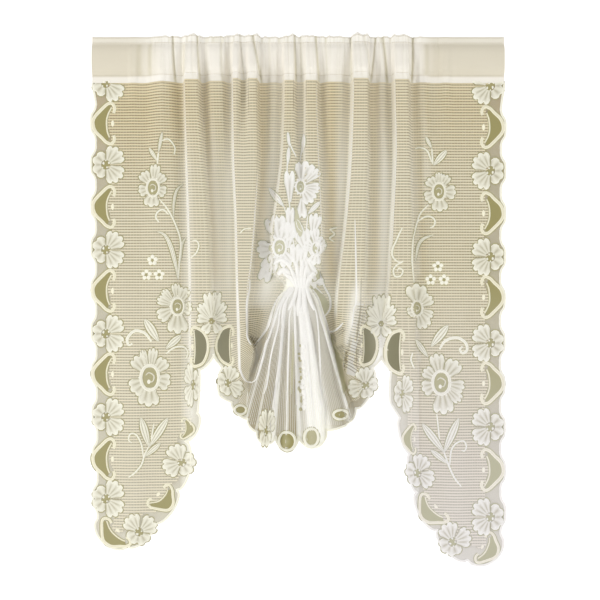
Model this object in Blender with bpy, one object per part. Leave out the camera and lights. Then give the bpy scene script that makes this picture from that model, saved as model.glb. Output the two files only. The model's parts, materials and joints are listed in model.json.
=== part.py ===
# Short lace curtain as it hangs: a plain woven heading with a rod pocket, gathered in its middle, and one
# lace panel sewn under it. The panel falls in soft folds to two long tails, and its middle is drawn up into
# a stitched knot from which a fan of pleats spreads. The origin is the middle of the top edge. The front
# faces -Y. Lengths below are in millimetres, and a "drop" is a height counted down from the top edge.

from collections import namedtuple

import bmesh
import bpy
import numpy as np
from mathutils import Vector
from mathutils.geometry import delaunay_2d_cdt, tessellate_polygon

MM = 0.001

# Heading
HEADING_DROP = 83.0      # from the top edge to the seam that carries the lace
SEAM_LIFT = 0.15         # how far the seam rises for each millimetre that a fold comes forward
TOP_LIFT = 0.10          # the same for the frill along the top edge
FRILL_DROP = 12.0        # row of stitches under the frill, where the pocket starts
POCKET_FOOT = 71.0       # row of stitches at the foot of the pocket
POCKET_HALF = 8.0        # half the depth of the open pocket, from back to front
WALL = 1.0               # one layer of the plain cloth
TUCK_DEPTH = 3.5         # a sharp tuck of the gathered cloth between two folds
TUCK_WIDTH = 9.0

# Lace panel
LACE = 1.6               # thickness of the lace, with its raised threads
GAP = 0.3                # between the heading's lower edge and the lace
HALF_REPEAT = 75.0       # one scallop of the left border; two make a repeat
HALF_REPEAT_RIGHT = 77.0
SCALLOP_BULGE = 8.0      # how far a scallop of the straight borders stands out
WAVE_STEPS = 10          # straight pieces of one such scallop
SCALLOP_STEPS = 5

# A track is a short list of (drop, value) pairs along the height of the curtain.
LEFT_EDGE = ((83, -367), (500, -366), (880, -363))
RIGHT_EDGE = ((83, 363), (600, 361), (900, 362))

# One row for each fold, from left to right. A fold is a flat-topped ridge: left and right are the tracks of
# its two side walls, rise is how far it stands forward, and wall is the width of each side wall.
Fold = namedtuple("Fold", "name left right rise wall")
FOLDS = (
    Fold("left tail", ((300, -330), (880, -322)), ((300, -276), (880, -280)), ((300, 0), (560, 5), (880, 4)), 34),
    Fold("left spray", ((83, -266), (330, -273), (530, -275)), ((83, -225), (203, -219), (530, -218)),
         ((83, 10), (203, 8), (560, 4), (700, 0)), 26),
    Fold("left outer", ((83, -207), (203, -204), (330, -200), (455, -197), (653, -197)),
         ((83, -179), (203, -172), (330, -162), (455, -157), (560, -150)),
         ((83, 24), (203, 20), (450, 15), (570, 11), (680, 3)), 8),
    Fold("left hump", ((83, -165), (300, -160)), ((83, -133), (300, -128)), ((83, 13), (203, 5), (290, 0)), 14),
    Fold("left swag", ((83, -121), (203, -120), (330, -115), (455, -112), (560, -108), (640, -112)),
         ((83, -74), (203, -72), (330, -78), (410, -85), (455, -91), (518, -94), (538, -91), (556, -81),
          (572, -77), (607, -87), (650, -102)),
         ((83, 29), (203, 26), (455, 23), (545, 21), (590, 10), (640, 0)), 8),
    Fold("left swag groove", ((83, -107), (203, -108)), ((83, -93), (203, -94)), ((83, -13), (150, -6), (210, 0)), 7),
    Fold("middle", ((83, -29), (203, -32), (293, -42), (365, -51), (420, -49), (448, -25), (473, -37),
                    (504, -52), (552, -64), (607, -78), (650, -92)),
         ((83, 33), (203, 36), (293, 40), (365, 42), (420, 35), (448, 17), (481, 30), (520, 45), (572, 59),
          (634, 75), (665, 85)),
         ((83, 18), (203, 18), (330, 25), (400, 34), (446, 27), (500, 37), (580, 34), (700, 28)), 8),
    Fold("middle groove", ((83, -8), (203, -6), (300, 0)), ((83, 9), (300, 8)),
         ((83, -14), (203, -12), (275, -4), (300, 0)), 7),
    Fold("right hump", ((83, 46), (300, 50)), ((83, 82), (300, 76)), ((83, 8), (203, 4), (290, 0)), 16),
    Fold("right swag", ((83, 94), (203, 91), (330, 82), (434, 69), (486, 65), (506, 64), (526, 62), (545, 62),
                        (572, 70), (634, 86), (665, 96)),
         ((83, 124), (203, 124), (330, 121), (486, 118), (520, 114), (560, 110), (620, 108)),
         ((83, 30), (203, 26), (330, 22), (486, 20), (560, 16), (620, 8), (660, 4)), 8),
    Fold("right swag crest", ((380, 103), (472, 102), (508, 92), (554, 83), (620, 76)), ((380, 120), (620, 104)),
         ((380, 0), (455, 8), (560, 8), (640, 0)), 8),
    Fold("right outer", ((83, 168), (203, 170), (330, 165), (437, 159), (509, 152), (660, 152)),
         ((83, 197), (203, 199), (330, 202), (455, 205), (560, 210), (660, 215)),
         ((83, 24), (203, 19), (450, 13), (560, 9), (660, 3)), 9),
    Fold("right tail", ((300, 256), (880, 262)), ((300, 308), (880, 302)), ((300, 0), (560, 5), (880, 4)), 34),
)
MAIN_FOLDS = ("left outer", "left swag", "middle", "right swag", "right outer")

# Pleats of the fan under the knot. Their walls lie at a share of the way across the middle fold.
Pleat = namedtuple("Pleat", "left right rise")
PLEATS = (
    Pleat(0.13, 0.24, ((455, 0), (540, 6), (700, 7))),
    Pleat(0.37, 0.47, ((455, 0), (540, 6), (700, 7))),
    Pleat(0.57, 0.75, ((455, 0), (540, 8), (700, 10))),
    Pleat(0.80, 0.93, ((455, 0), (540, 5), (700, 6))),
)
PLEAT_WALL = 6.0

# Sharp tucks of the gathered heading: where each lies at the top edge and at the seam.
Tuck = namedtuple("Tuck", "top seam")
TUCKS = (
    Tuck(-231, -222), Tuck(-183, -176), Tuck(-146, -140), Tuck(-107, -98), Tuck(-84, -69), Tuck(-9, -2),
    Tuck(30, 37), Tuck(92, 88), Tuck(129, 133), Tuck(152, 154), Tuck(200, 203),
)

# Scalloped lower edge, from the left border to the right one: each row is the notch that ends a scallop,
# and how far that scallop stands out of the straight line from the notch before.
Scallop = namedtuple("Scallop", "x drop bulge")
HEM = (
    Scallop(-309, 916, 25), Scallop(-264, 875, 14), Scallop(-221, 815, 16), Scallop(-206, 727, 17),
    Scallop(-184, 677, 13), Scallop(-180, 598, 2), Scallop(-154, 570, 5), Scallop(-137, 596, 2),
    Scallop(-140, 648, 8), Scallop(-121, 657, 1), Scallop(-93, 686, 8), Scallop(-75, 707, 5),
    Scallop(-42, 716, 17), Scallop(-2, 715, 25), Scallop(47, 703, 26), Scallop(94, 688, 5),
    Scallop(100, 668, 3), Scallop(130, 596, 16), Scallop(148, 575, 2), Scallop(166, 599, 3),
    Scallop(165, 661, 3), Scallop(181, 686, 0), Scallop(199, 749, 9), Scallop(211, 819, 9),
    Scallop(249, 887, 16), Scallop(302, 941, 16),
)
CORNER_BULGE = 30.0      # scallop round the right tail's outer corner

# Rows of points of the panel: even steps, closer together round the knot and the swags.
ROWS = tuple(range(112, 400, 34)) + tuple(range(402, 600, 18)) + tuple(range(612, 950, 30))
SIDE_STEP = 30.0         # widest step between two points of a row
NEAR = 2.2               # two points of a row closer than this become one
MARGIN = 9.0             # no inner point lies closer to the edge than this
SIDE_ROOM = 12.0         # how far the rows reach past the notches of the straight borders
UNFOLD = 2.0             # how much wider flat stretches are laid out between the rows of points
WALL_SPREAD = 70.0       # how wide a fold's side wall is laid out there


def along(track, drop):
    """Value of a track at a drop: a smooth curve through its pairs with no overshoot, level past its ends."""
    drops, values = (np.array(column, float) for column in zip(*track))
    drop = np.clip(drop, drops[0], drops[-1])
    if len(drops) == 1:
        return np.full_like(drop, values[0])
    steps = np.diff(drops)
    slopes = np.diff(values) / steps
    bends = np.zeros(len(drops))
    same = slopes[1:] * slopes[:-1] > 0
    total = np.where(same, slopes[1:] + slopes[:-1], 1.0)
    bends[1:-1] = np.where(same, 2.0 * slopes[1:] * slopes[:-1] / total, 0.0)
    k = np.clip(np.searchsorted(drops, drop, side="right") - 1, 0, len(steps) - 1)
    t = (drop - drops[k]) / steps[k]
    curve = values[k] + (values[k + 1] - values[k]) * t * t * (3.0 - 2.0 * t)
    return curve + steps[k] * t * (1.0 - t) * (bends[k] * (1.0 - t) - bends[k + 1] * t)


def step(x, place, width):
    """A smooth step from 0 to 1 across a wall of the given width."""
    t = np.clip((x - place) / width + 0.5, 0.0, 1.0)
    return t * t * (3.0 - 2.0 * t)


def pleat_places(pleat, drop):
    """Left and right wall of a pleat, between the walls of the middle fold."""
    middle = next(fold for fold in FOLDS if fold.name == "middle")
    left, right = along(middle.left, drop), along(middle.right, drop)
    return left + pleat.left * (right - left), left + pleat.right * (right - left)


def depth(x, drop):
    """How far the lace stands forward at a place of the curtain's front view."""
    total = np.zeros(np.broadcast(x, drop).shape)
    for fold in FOLDS:
        ridge = step(x, along(fold.left, drop), fold.wall) - step(x, along(fold.right, drop), fold.wall)
        total = total + along(fold.rise, drop) * ridge
    for pleat in PLEATS:
        left, right = pleat_places(pleat, drop)
        ridge = step(x, left, PLEAT_WALL) - step(x, right, PLEAT_WALL)
        total = total + along(pleat.rise, drop) * ridge
    return total


def seam_drop(x):
    """Drop of the heading's lower edge, which rises where a fold comes forward."""
    return HEADING_DROP - SEAM_LIFT * depth(x, HEADING_DROP)


def walls_at(drop, least=0.8):
    """Place and width of each fold wall that stands out at this drop."""
    found = []
    for fold in FOLDS:
        if abs(along(fold.rise, drop)) > least:
            found += [(float(along(track, drop)), fold.wall) for track in (fold.left, fold.right)]
    for pleat in PLEATS:
        if abs(along(pleat.rise, drop)) > least:
            found += [(float(place), PLEAT_WALL) for place in pleat_places(pleat, drop)]
    return found


def row_places(drop, left, right):
    """Points across one row: the foot, middle and top of every wall, and even steps where it is flat."""
    wanted = [left, right]
    for place, width in walls_at(drop):
        shares = (-0.5, -0.15, 0.15, 0.5) if width < 12 else (-0.45, 0.0, 0.45)
        wanted += [place + share * width for share in shares]
    wanted = sorted(x for x in wanted if left <= x <= right)
    kept = [wanted[0]]
    for x in wanted[1:]:
        if x - kept[-1] < NEAR:
            continue
        spaces = int(np.ceil((x - kept[-1]) / SIDE_STEP))
        start = kept[-1]
        kept += [start + (x - start) * n / spaces for n in range(1, spaces + 1)]
    return kept


def main_walls(drop):
    """Start and end of each main fold's side walls, from left to right, parted where two of them meet."""
    walls = []
    for fold in FOLDS:
        if fold.name in MAIN_FOLDS:
            for track in (fold.left, fold.right):
                place = float(along(track, drop))
                walls.append([place - fold.wall / 2.0, place + fold.wall / 2.0])
    for here, there in zip(walls, walls[1:]):
        if here[1] > there[0] - NEAR / 2.0:
            cut = (here[1] + there[0]) / 2.0
            here[1], there[0] = cut - NEAR / 4.0, cut + NEAR / 4.0
    return walls


def unfold(x, drop):
    """Sideways place on the unfolded cloth, where the walls of the main folds run straight down."""
    places, flat = [float(along(LEFT_EDGE, drop)) - SIDE_ROOM], [0.0]
    level = LEFT_EDGE[0][1] - SIDE_ROOM
    for (start, end), (top_start, top_end) in zip(main_walls(drop), main_walls(HEADING_DROP)):
        places += [start, end]
        flat += [flat[-1] + UNFOLD * (top_start - level), flat[-1] + UNFOLD * (top_start - level) + WALL_SPREAD]
        level = top_end
    places.append(float(along(RIGHT_EDGE, drop)) + SIDE_ROOM)
    flat.append(flat[-1] + UNFOLD * (RIGHT_EDGE[0][1] + SIDE_ROOM - level))
    return float(np.interp(x, places, flat))


def scallop(start, end, bulge):
    """Points of one scallop after its first notch: half an ellipse that stands out to the right of the way."""
    start, end = np.array(start, float), np.array(end, float)
    way = end - start
    out = np.array((-way[1], way[0])) / np.hypot(*way)
    turns = [np.pi * n / SCALLOP_STEPS for n in range(1, SCALLOP_STEPS + 1)]
    return [tuple(start + way * (1.0 - np.cos(a)) / 2.0 + out * bulge * np.sin(a)) for a in turns]


def wave(start, end, bulge):
    """Points of one repeat of a straight border after its first notch: a round bulge between two flat dips."""
    start, end = np.array(start, float), np.array(end, float)
    way = end - start
    out = np.array((-way[1], way[0])) / np.hypot(*way)
    points = []
    for t in np.arange(1, WAVE_STEPS + 1) / WAVE_STEPS:
        rise = min(max((min(t, 1.0 - t) - 0.12) / 0.24, 0.0), 1.0)
        points.append(tuple(start + way * t + out * bulge * rise * rise * (3.0 - 2.0 * rise)))
    return points


def side_notches(edge, first, half_repeat, count):
    """Notches of a straight border, at even drops along its edge."""
    drops = [first + half_repeat * n for n in range(count)]
    return [(float(along(edge, drop)), drop) for drop in drops]


def panel_outline():
    """The panel's edge as (x, drop) points: down the left border, along the hem and up the right border."""
    left = side_notches(LEFT_EDGE, 116.5, HALF_REPEAT, 11)
    right = side_notches(RIGHT_EDGE, 125.5, HALF_REPEAT_RIGHT, 11)
    points = [(left[0][0] - 6.0, float(seam_drop(left[0][0] - 6.0)) + GAP), left[0]]
    for notch in left[1:]:
        points += wave(points[-1], notch, SCALLOP_BULGE)
    for row in HEM:
        points += scallop(points[-1], (row.x, row.drop), row.bulge)
    points += scallop(points[-1], right[-1], CORNER_BULGE)
    for notch in reversed(right[:-1]):
        points += wave(points[-1], notch, SCALLOP_BULGE)
    points.append((right[0][0] + 6.0, float(seam_drop(right[0][0] + 6.0)) + GAP))
    return points


def inside(point, outline):
    """Whether a point lies inside a closed outline, and how far it is from it."""
    ends = np.roll(outline, -1, axis=0)
    way = ends - outline
    share = np.clip(((point - outline) * way).sum(1) / np.maximum((way * way).sum(1), 1e-9), 0.0, 1.0)
    distance = np.hypot(*(outline + way * share[:, None] - point).T).min()
    crosses = (outline[:, 1] > point[1]) != (ends[:, 1] > point[1])
    rise = np.where(crosses, way[:, 1], 1.0)
    meets = outline[:, 0] + way[:, 0] * (point[1] - outline[:, 1]) / rise > point[0]
    return bool((crosses & meets).sum() % 2), distance


def panel_net():
    """Points (x, drop) of the panel and the triangles between them, laid out on the unfolded cloth."""
    edge = panel_outline()
    top = row_places(HEADING_DROP, edge[0][0], edge[-1][0])[1:-1]
    edge += [(x, float(seam_drop(x)) + GAP) for x in reversed(top)]
    flat_edge = np.array([(unfold(x, drop), drop) for x, drop in edge])
    points = list(edge)
    for drop in ROWS:
        ends = float(along(LEFT_EDGE, drop)) - SIDE_ROOM, float(along(RIGHT_EDGE, drop)) + SIDE_ROOM
        for x in row_places(drop, *ends):
            within, distance = inside(np.array((unfold(x, drop), drop)), flat_edge)
            if within and distance > MARGIN:
                points.append((x, drop))
    flat = [Vector((unfold(x, drop), drop)) for x, drop in points]
    net = delaunay_2d_cdt(flat, [], [list(reversed(range(len(edge))))], 1, 1e-4, True)
    origin = [ids[0] for ids in net[3]]
    faces = []
    for face in net[2]:
        middle = sum((net[0][corner] for corner in face), Vector((0.0, 0.0))) / 3.0
        if inside(np.array(middle), flat_edge)[0]:
            faces.append([origin[corner] for corner in face])
    return points, faces, len(edge)


def new_object(name, mesh, color, roughness):
    """An object of that mesh with a plain cloth material of its own."""
    data = bpy.data.meshes.new(name)
    bmesh.ops.recalc_face_normals(mesh, faces=mesh.faces[:])
    mesh.to_mesh(data)
    mesh.free()
    material = bpy.data.materials.new(name + "_cloth")
    material.use_nodes = True
    shader = material.node_tree.nodes["Principled BSDF"]
    shader.inputs["Base Color"].default_value = color
    shader.inputs["Roughness"].default_value = roughness
    shader.inputs["Metallic"].default_value = 0.0
    data.materials.append(material)
    piece = bpy.data.objects.new(name, data)
    bpy.context.scene.collection.objects.link(piece)
    data.shade_smooth()
    data.set_sharp_from_angle(angle=0.9)
    return piece


def add_lace_panel():
    """The lace as one sheet: a front and a back face on the same folds, joined along the edge."""
    points, faces, edge_count = panel_net()
    x, drop = np.array(points, float).T
    front = depth(x, drop)
    h = 0.4
    slope_x = (depth(x + h, drop) - depth(x - h, drop)) / (2.0 * h)
    slope_z = (depth(x, drop + h) - depth(x, drop - h)) / (2.0 * h)
    half = np.minimum(LACE / 2.0 * np.sqrt(1.0 + slope_x ** 2 + slope_z ** 2), 2.0 * LACE)
    mesh = bmesh.new()
    near, far = [
        [mesh.verts.new(Vector((px, -py, -pz)) * MM) for px, py, pz in zip(x, front + side * half, drop)]
        for side in (1.0, -1.0)
    ]
    for a, b, c in faces:
        mesh.faces.new((near[a], near[b], near[c]))
        mesh.faces.new((far[c], far[b], far[a]))
    for n in range(edge_count):
        m = (n + 1) % edge_count
        mesh.faces.new((near[m], near[n], far[n], far[m]))
    return new_object("lace_panel", mesh, (0.86, 0.81, 0.66, 1.0), 0.85)


def tucks(x, drop):
    """How deep the sharp tucks of the gathered heading cut in."""
    share = drop / HEADING_DROP
    total = np.zeros(np.broadcast(x, drop).shape)
    for tuck in TUCKS:
        away = np.abs(x - (tuck.top + (tuck.seam - tuck.top) * share)) / (TUCK_WIDTH / 2.0)
        total = np.maximum(total, TUCK_DEPTH * np.clip(1.0 - away, 0.0, 1.0))
    return total


# How the heading's two layers lie at each height: how open the pocket is, and how far the front and the
# back layer follow the folds of the seam.
Level = namedtuple("Level", "drop open front back")
LEVELS = (
    Level(0.0, 0.0, 0.25, 0.25), Level(FRILL_DROP, 0.0, 0.30, 0.30), Level(22.0, 0.8, 0.42, 0.0),
    Level(42.0, 1.0, 0.60, 0.0), Level(60.0, 0.8, 0.85, 0.0), Level(POCKET_FOOT, 0.1, 0.97, 0.85),
    Level(HEADING_DROP, 0.0, 1.0, 1.0),
)


def heading_column(x):
    """Outer and inner loop of the heading's section at one place across, as (y, drop) points."""
    fold = float(depth(x, HEADING_DROP))
    front, back, pocket_front, pocket_back = [], [], [], []
    for level in LEVELS:
        drop = level.drop
        if level is LEVELS[0]:
            drop = -TOP_LIFT * fold
        if level is LEVELS[-1]:
            drop = float(seam_drop(x))
        tuck = float(tucks(x, level.drop))
        near = level.front * fold + level.open * POCKET_HALF - tuck
        far = level.back * fold - level.open * POCKET_HALF - (tuck if level.back else 0.0)
        front.append((-near - WALL, drop))
        back.append((-far + WALL, drop))
        if level.open >= 0.5:
            pocket_front.append((-near, drop))
            pocket_back.append((-far, drop))
        elif level.drop in (FRILL_DROP, POCKET_FOOT):
            apex = (-(near + far) / 2.0, drop + (2.5 if level.drop == FRILL_DROP else -2.5))
            (pocket_front if level.drop == FRILL_DROP else pocket_back).append(apex)
    foot = [pocket_back.pop()]
    return front + back[::-1], pocket_front + foot + pocket_back[::-1]


def add_heading():
    """The heading: one doubled strip, open at both ends for the rod, with its folds and tucks."""
    ends = (-373.0, 369.0)
    places = row_places(HEADING_DROP, *ends)
    for tuck in TUCKS:
        places += [tuck.seam - TUCK_WIDTH / 2.0, (tuck.top + tuck.seam) / 2.0, tuck.top + TUCK_WIDTH / 2.0]
    kept = []
    for x in sorted(places):
        if not kept or x - kept[-1] > NEAR:
            kept.append(x)
    mesh = bmesh.new()
    rings = []
    for x in kept:
        loops = heading_column(x)
        rings.append([[mesh.verts.new(Vector((x, y, -drop)) * MM) for y, drop in loop] for loop in loops])
    for here, there in zip(rings, rings[1:]):
        for a, b in zip(here, there):
            for n in range(len(a)):
                m = (n + 1) % len(a)
                mesh.faces.new((a[n], a[m], b[m], b[n]))
    for ring in (rings[0], rings[-1]):
        corners = ring[0] + ring[1]
        for triangle in tessellate_polygon([[corner.co for corner in loop] for loop in ring]):
            mesh.faces.new([corners[n] for n in triangle])
    return new_object("heading", mesh, (0.89, 0.85, 0.74, 1.0), 0.8)


for old in list(bpy.data.objects):
    bpy.data.objects.remove(old, do_unlink=True)
add_heading()
add_lace_panel()
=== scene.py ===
# Short lace curtain. Lengths are in millimetres in the curtain's own front view: x to the right from the
# middle, and drop down from the top edge. A height over the net is a third number, towards the room.
import json
from collections import namedtuple

import bpy
import numpy as np
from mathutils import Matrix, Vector
from mathutils.geometry import delaunay_2d_cdt

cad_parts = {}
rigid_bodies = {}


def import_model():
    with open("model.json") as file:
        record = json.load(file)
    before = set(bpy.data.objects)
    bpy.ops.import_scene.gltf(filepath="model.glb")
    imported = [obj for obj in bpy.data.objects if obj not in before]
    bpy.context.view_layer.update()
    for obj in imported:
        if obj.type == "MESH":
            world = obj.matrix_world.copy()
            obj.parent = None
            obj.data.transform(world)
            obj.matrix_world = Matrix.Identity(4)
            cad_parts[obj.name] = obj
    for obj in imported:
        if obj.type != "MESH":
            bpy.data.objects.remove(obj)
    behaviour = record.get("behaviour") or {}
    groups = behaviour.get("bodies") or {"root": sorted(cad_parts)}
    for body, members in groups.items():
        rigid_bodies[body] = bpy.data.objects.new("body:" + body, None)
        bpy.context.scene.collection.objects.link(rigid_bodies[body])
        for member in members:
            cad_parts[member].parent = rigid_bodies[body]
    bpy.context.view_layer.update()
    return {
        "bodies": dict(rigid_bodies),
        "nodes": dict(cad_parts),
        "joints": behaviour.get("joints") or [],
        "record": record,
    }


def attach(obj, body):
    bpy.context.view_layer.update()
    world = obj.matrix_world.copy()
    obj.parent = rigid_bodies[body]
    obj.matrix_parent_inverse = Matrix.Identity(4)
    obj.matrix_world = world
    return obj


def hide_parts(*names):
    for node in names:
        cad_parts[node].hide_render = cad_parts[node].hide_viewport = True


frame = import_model()


# Folds of the lace. The panel hangs from its gathered heading in flat-topped folds with steep side walls, and
# its middle is drawn up into a stitched knot with a fan of pleats under it. Every later piece lies on these
# folds, so they come first: each row below is one fold, with the tracks (drop, value) of its walls and rise.
MM = 0.001
HEADING_DROP = 83.0
SEAM_LIFT = 0.15
Fold = namedtuple("Fold", "name left right rise wall")
FOLDS = (
    Fold("left tail", ((300, -330), (880, -322)), ((300, -276), (880, -280)),
         ((300, 0), (560, 5), (880, 4)), 34),
    Fold("left spray", ((83, -266), (330, -273), (530, -275)), ((83, -225), (203, -219), (530, -218)),
         ((83, 10), (203, 8), (560, 4), (700, 0)), 26),
    Fold("left outer", ((83, -207), (203, -204), (330, -200), (455, -197), (653, -197)),
         ((83, -179), (203, -172), (330, -162), (455, -157), (560, -150)),
         ((83, 24), (203, 20), (450, 15), (570, 11), (680, 3)), 6),
    Fold("left hump", ((83, -165), (300, -160)), ((83, -133), (300, -128)),
         ((83, 13), (203, 5), (290, 0)), 14),
    Fold("left swag", ((83, -121), (203, -120), (330, -115), (455, -112), (560, -108), (640, -112)),
         ((83, -74), (203, -72), (330, -78), (410, -85), (455, -91), (518, -94), (538, -91), (556, -81),
          (572, -77), (607, -87), (650, -102)),
         ((83, 29), (203, 26), (455, 23), (545, 21), (590, 10), (640, 0)), 6),
    Fold("left swag groove", ((83, -107), (203, -108)), ((83, -93), (203, -94)),
         ((83, -13), (150, -6), (210, 0)), 7),
    Fold("middle", ((83, -29), (203, -32), (293, -42), (365, -51), (420, -49), (448, -25), (473, -37),
                    (504, -52), (552, -64), (607, -78), (650, -92)),
         ((83, 33), (203, 36), (293, 40), (365, 42), (420, 35), (448, 17), (481, 30), (520, 45), (572, 59),
          (634, 75), (665, 85)),
         ((83, 18), (203, 18), (330, 25), (400, 34), (446, 27), (500, 37), (580, 34), (700, 28)), 7),
    Fold("middle groove", ((83, -8), (203, -6), (300, 0)), ((83, 9), (300, 8)),
         ((83, -14), (203, -12), (275, -4), (300, 0)), 7),
    Fold("right hump", ((83, 46), (300, 50)), ((83, 82), (300, 76)), ((83, 8), (203, 4), (290, 0)), 16),
    Fold("right swag", ((83, 94), (203, 91), (330, 82), (434, 69), (486, 65), (506, 64), (526, 62), (545, 62),
                        (572, 70), (634, 86), (665, 96)),
         ((83, 124), (203, 124), (330, 121), (486, 118), (520, 114), (560, 110), (620, 108)),
         ((83, 30), (203, 26), (330, 22), (486, 20), (560, 16), (620, 8), (660, 4)), 6),
    Fold("right swag crest", ((380, 103), (472, 102), (508, 92), (554, 83), (620, 76)),
         ((380, 120), (620, 104)), ((380, 0), (455, 8), (560, 8), (640, 0)), 7),
    Fold("right outer", ((83, 168), (203, 170), (330, 165), (437, 159), (509, 152), (660, 152)),
         ((83, 197), (203, 199), (330, 202), (455, 205), (560, 210), (660, 215)),
         ((83, 24), (203, 19), (450, 13), (560, 9), (660, 3)), 7),
    Fold("right tail", ((300, 256), (880, 262)), ((300, 308), (880, 302)),
         ((300, 0), (560, 5), (880, 4)), 34),
)
# Small soft gathers under the heading, between the folds. They are too fine for the solid and fade downwards.
GATHERS = (
    Fold("left end", ((83, -306), (160, -306)), ((83, -292), (160, -292)), ((83, 2), (160, 0)), 8),
    Fold("left", ((83, -252), (250, -255)), ((83, -241), (250, -244)), ((83, 3), (180, 1.5), (260, 0)), 8),
    Fold("left middle", ((83, -55), (280, -58)), ((83, -40), (280, -43)), ((83, 4), (200, 2), (280, 0)), 8),
    Fold("right valley", ((83, 141), (300, 147)), ((83, 156), (300, 161)), ((83, 5), (200, 3), (300, 0)), 9),
    Fold("right", ((83, 213), (300, 224)), ((83, 230), (300, 241)), ((83, 4), (200, 3), (300, 0)), 9),
    Fold("right end", ((83, 256), (180, 256)), ((83, 270), (180, 270)), ((83, 2.5), (180, 0)), 8),
)
MAIN_FOLDS = ("left outer", "left swag", "middle", "right swag", "right outer")
MIDDLE = next(fold for fold in FOLDS if fold.name == "middle")

# Pleats of the fan: each lies between two shares of the way across the middle fold, under the knot.
Pleat = namedtuple("Pleat", "left right rise wall")
PLEATS = (
    Pleat(0.13, 0.24, ((455, 0), (540, 6), (700, 7)), 5.0),
    Pleat(0.37, 0.47, ((455, 0), (540, 6), (700, 7)), 5.0),
    Pleat(0.57, 0.75, ((455, 0), (540, 8), (700, 10)), 6.0),
    Pleat(0.80, 0.93, ((455, 0), (540, 5), (700, 6)), 6.0),
    Pleat(0.115, 0.135, ((470, 0), (520, 2), (700, 3)), 2.5),
    Pleat(0.225, 0.255, ((455, 0), (500, 3), (700, 4)), 2.5),
    Pleat(0.305, 0.325, ((470, 0), (520, 2), (700, 2)), 2.5),
    Pleat(0.465, 0.49, ((470, 0), (520, 3), (700, 3)), 2.5),
    Pleat(0.655, 0.69, ((440, 0), (500, -2), (700, -2)), 5.0),
    Pleat(0.965, 0.99, ((455, 0), (500, 2), (700, 3)), 2.5),
)


def ramp(value, start, end):
    """0 up to the start and 1 past the end, which may lie on either side of it, and even between them."""
    return np.clip((value - start) / (end - start), 0.0, 1.0)


def eased(share):
    """An even share of the way made into one that starts and stops softly."""
    return share * share * (3.0 - 2.0 * share)


def along(track, drop):
    """Value of a track at a drop: a smooth curve through its pairs with no overshoot, level past its ends."""
    drops, values = (np.array(column, float) for column in zip(*track))
    drop = np.clip(drop, drops[0], drops[-1])
    steps = np.diff(drops)
    slopes = np.diff(values) / steps
    bends = np.zeros(len(drops))
    same = slopes[1:] * slopes[:-1] > 0
    total = np.where(same, slopes[1:] + slopes[:-1], 1.0)
    bends[1:-1] = np.where(same, 2.0 * slopes[1:] * slopes[:-1] / total, 0.0)
    k = np.clip(np.searchsorted(drops, drop, side="right") - 1, 0, len(steps) - 1)
    t = (drop - drops[k]) / steps[k]
    curve = values[k] + (values[k + 1] - values[k]) * eased(t)
    return curve + steps[k] * t * (1.0 - t) * (bends[k] * (1.0 - t) - bends[k + 1] * t)


def ridge(x, left, right, wall):
    """1 on top of a flat-topped ridge and 0 beside it, with smooth walls."""
    rise, fall = [eased(np.clip((x - foot) / wall + 0.5, 0.0, 1.0)) for foot in (left, right)]
    return rise - fall


def ray_places(drop):
    """Where each measured ray of the fan stands at a drop."""
    bunch, down = np.clip((drop - 425.0) / 50.0, 0.1, 1.0), np.maximum(drop - 475.0, 0.0) / 175.0
    return [top * bunch + (foot - top) * down for _, top, foot in RAYS]


def fan_share(x, drop):
    """How far across the fan a place is, counted on its straight rays: 0 on the first and 1 on the last."""
    places = ray_places(drop)
    total = -np.maximum(places[0] - x, 0.0) / 100.0 + np.maximum(x - places[-1], 0.0) / 100.0
    for n in range(len(RAYS) - 1):
        total = total + ramp(x, places[n], places[n + 1]) * (RAYS[n + 1][0] - RAYS[n][0])
    return total


def in_fan(x, drop):
    """True inside the fan."""
    return (x > along(FAN_LEFT, drop)) & (x < along(FAN_RIGHT, drop)) & (drop > FAN_TOP - 12.0)


def depth(x, drop):
    """How far the lace stands forward at a place of the front view."""
    total = np.zeros(np.broadcast(x, drop).shape)
    for fold in FOLDS + GATHERS:
        shape = ridge(x, along(fold.left, drop), along(fold.right, drop), fold.wall)
        total = total + along(fold.rise, drop) * shape
    left, right = along(MIDDLE.left, drop), along(MIDDLE.right, drop)
    for pleat in PLEATS:
        start, end = left + pleat.left * (right - left), left + pleat.right * (right - left)
        total = total + along(pleat.rise, drop) * ridge(x, start, end, pleat.wall)
    return total


# Lace panel, the ground. It is one sheet of machine-knitted curtain net, sewn into the heading at the top and
# cut by its own scalloped border everywhere else. Its threads and motifs follow as raised pieces on it.
LEFT_EDGE = ((83, -367), (500, -366), (880, -363))
RIGHT_EDGE = ((83, 363), (600, 361), (900, 362))
FIRST_NOTCH = {"left": 116.5, "right": 125.5}
NOTCH_STEP = {"left": 75.0, "right": 77.0}
NOTCHES = 11
SIDE_BULGE = 8.0
WAVE_STEPS = 10
SCALLOP_STEPS = 9
CORNER_BULGE = 30.0
TUCKED_IN = 3.0          # how far the lace reaches up between the heading's two layers
EDGE_ROOM = 1.6          # between the cut edge and the nearest other points of the sheet
Scallop = namedtuple("Scallop", "x drop bulge")
HEM = (
    Scallop(-309, 916, 25), Scallop(-264, 875, 14), Scallop(-221, 815, 16), Scallop(-206, 727, 17),
    Scallop(-184, 677, 13), Scallop(-180, 598, 2), Scallop(-154, 570, 5), Scallop(-137, 596, 2),
    Scallop(-140, 648, 8), Scallop(-121, 657, 1), Scallop(-93, 686, 8), Scallop(-75, 707, 5),
    Scallop(-42, 716, 17), Scallop(-2, 715, 25), Scallop(47, 703, 26), Scallop(94, 688, 5),
    Scallop(100, 668, 3), Scallop(130, 596, 16), Scallop(148, 575, 2), Scallop(166, 599, 3),
    Scallop(165, 661, 3), Scallop(181, 686, 0), Scallop(199, 749, 9), Scallop(211, 819, 9),
    Scallop(249, 887, 16), Scallop(302, 941, 16),
)
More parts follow.
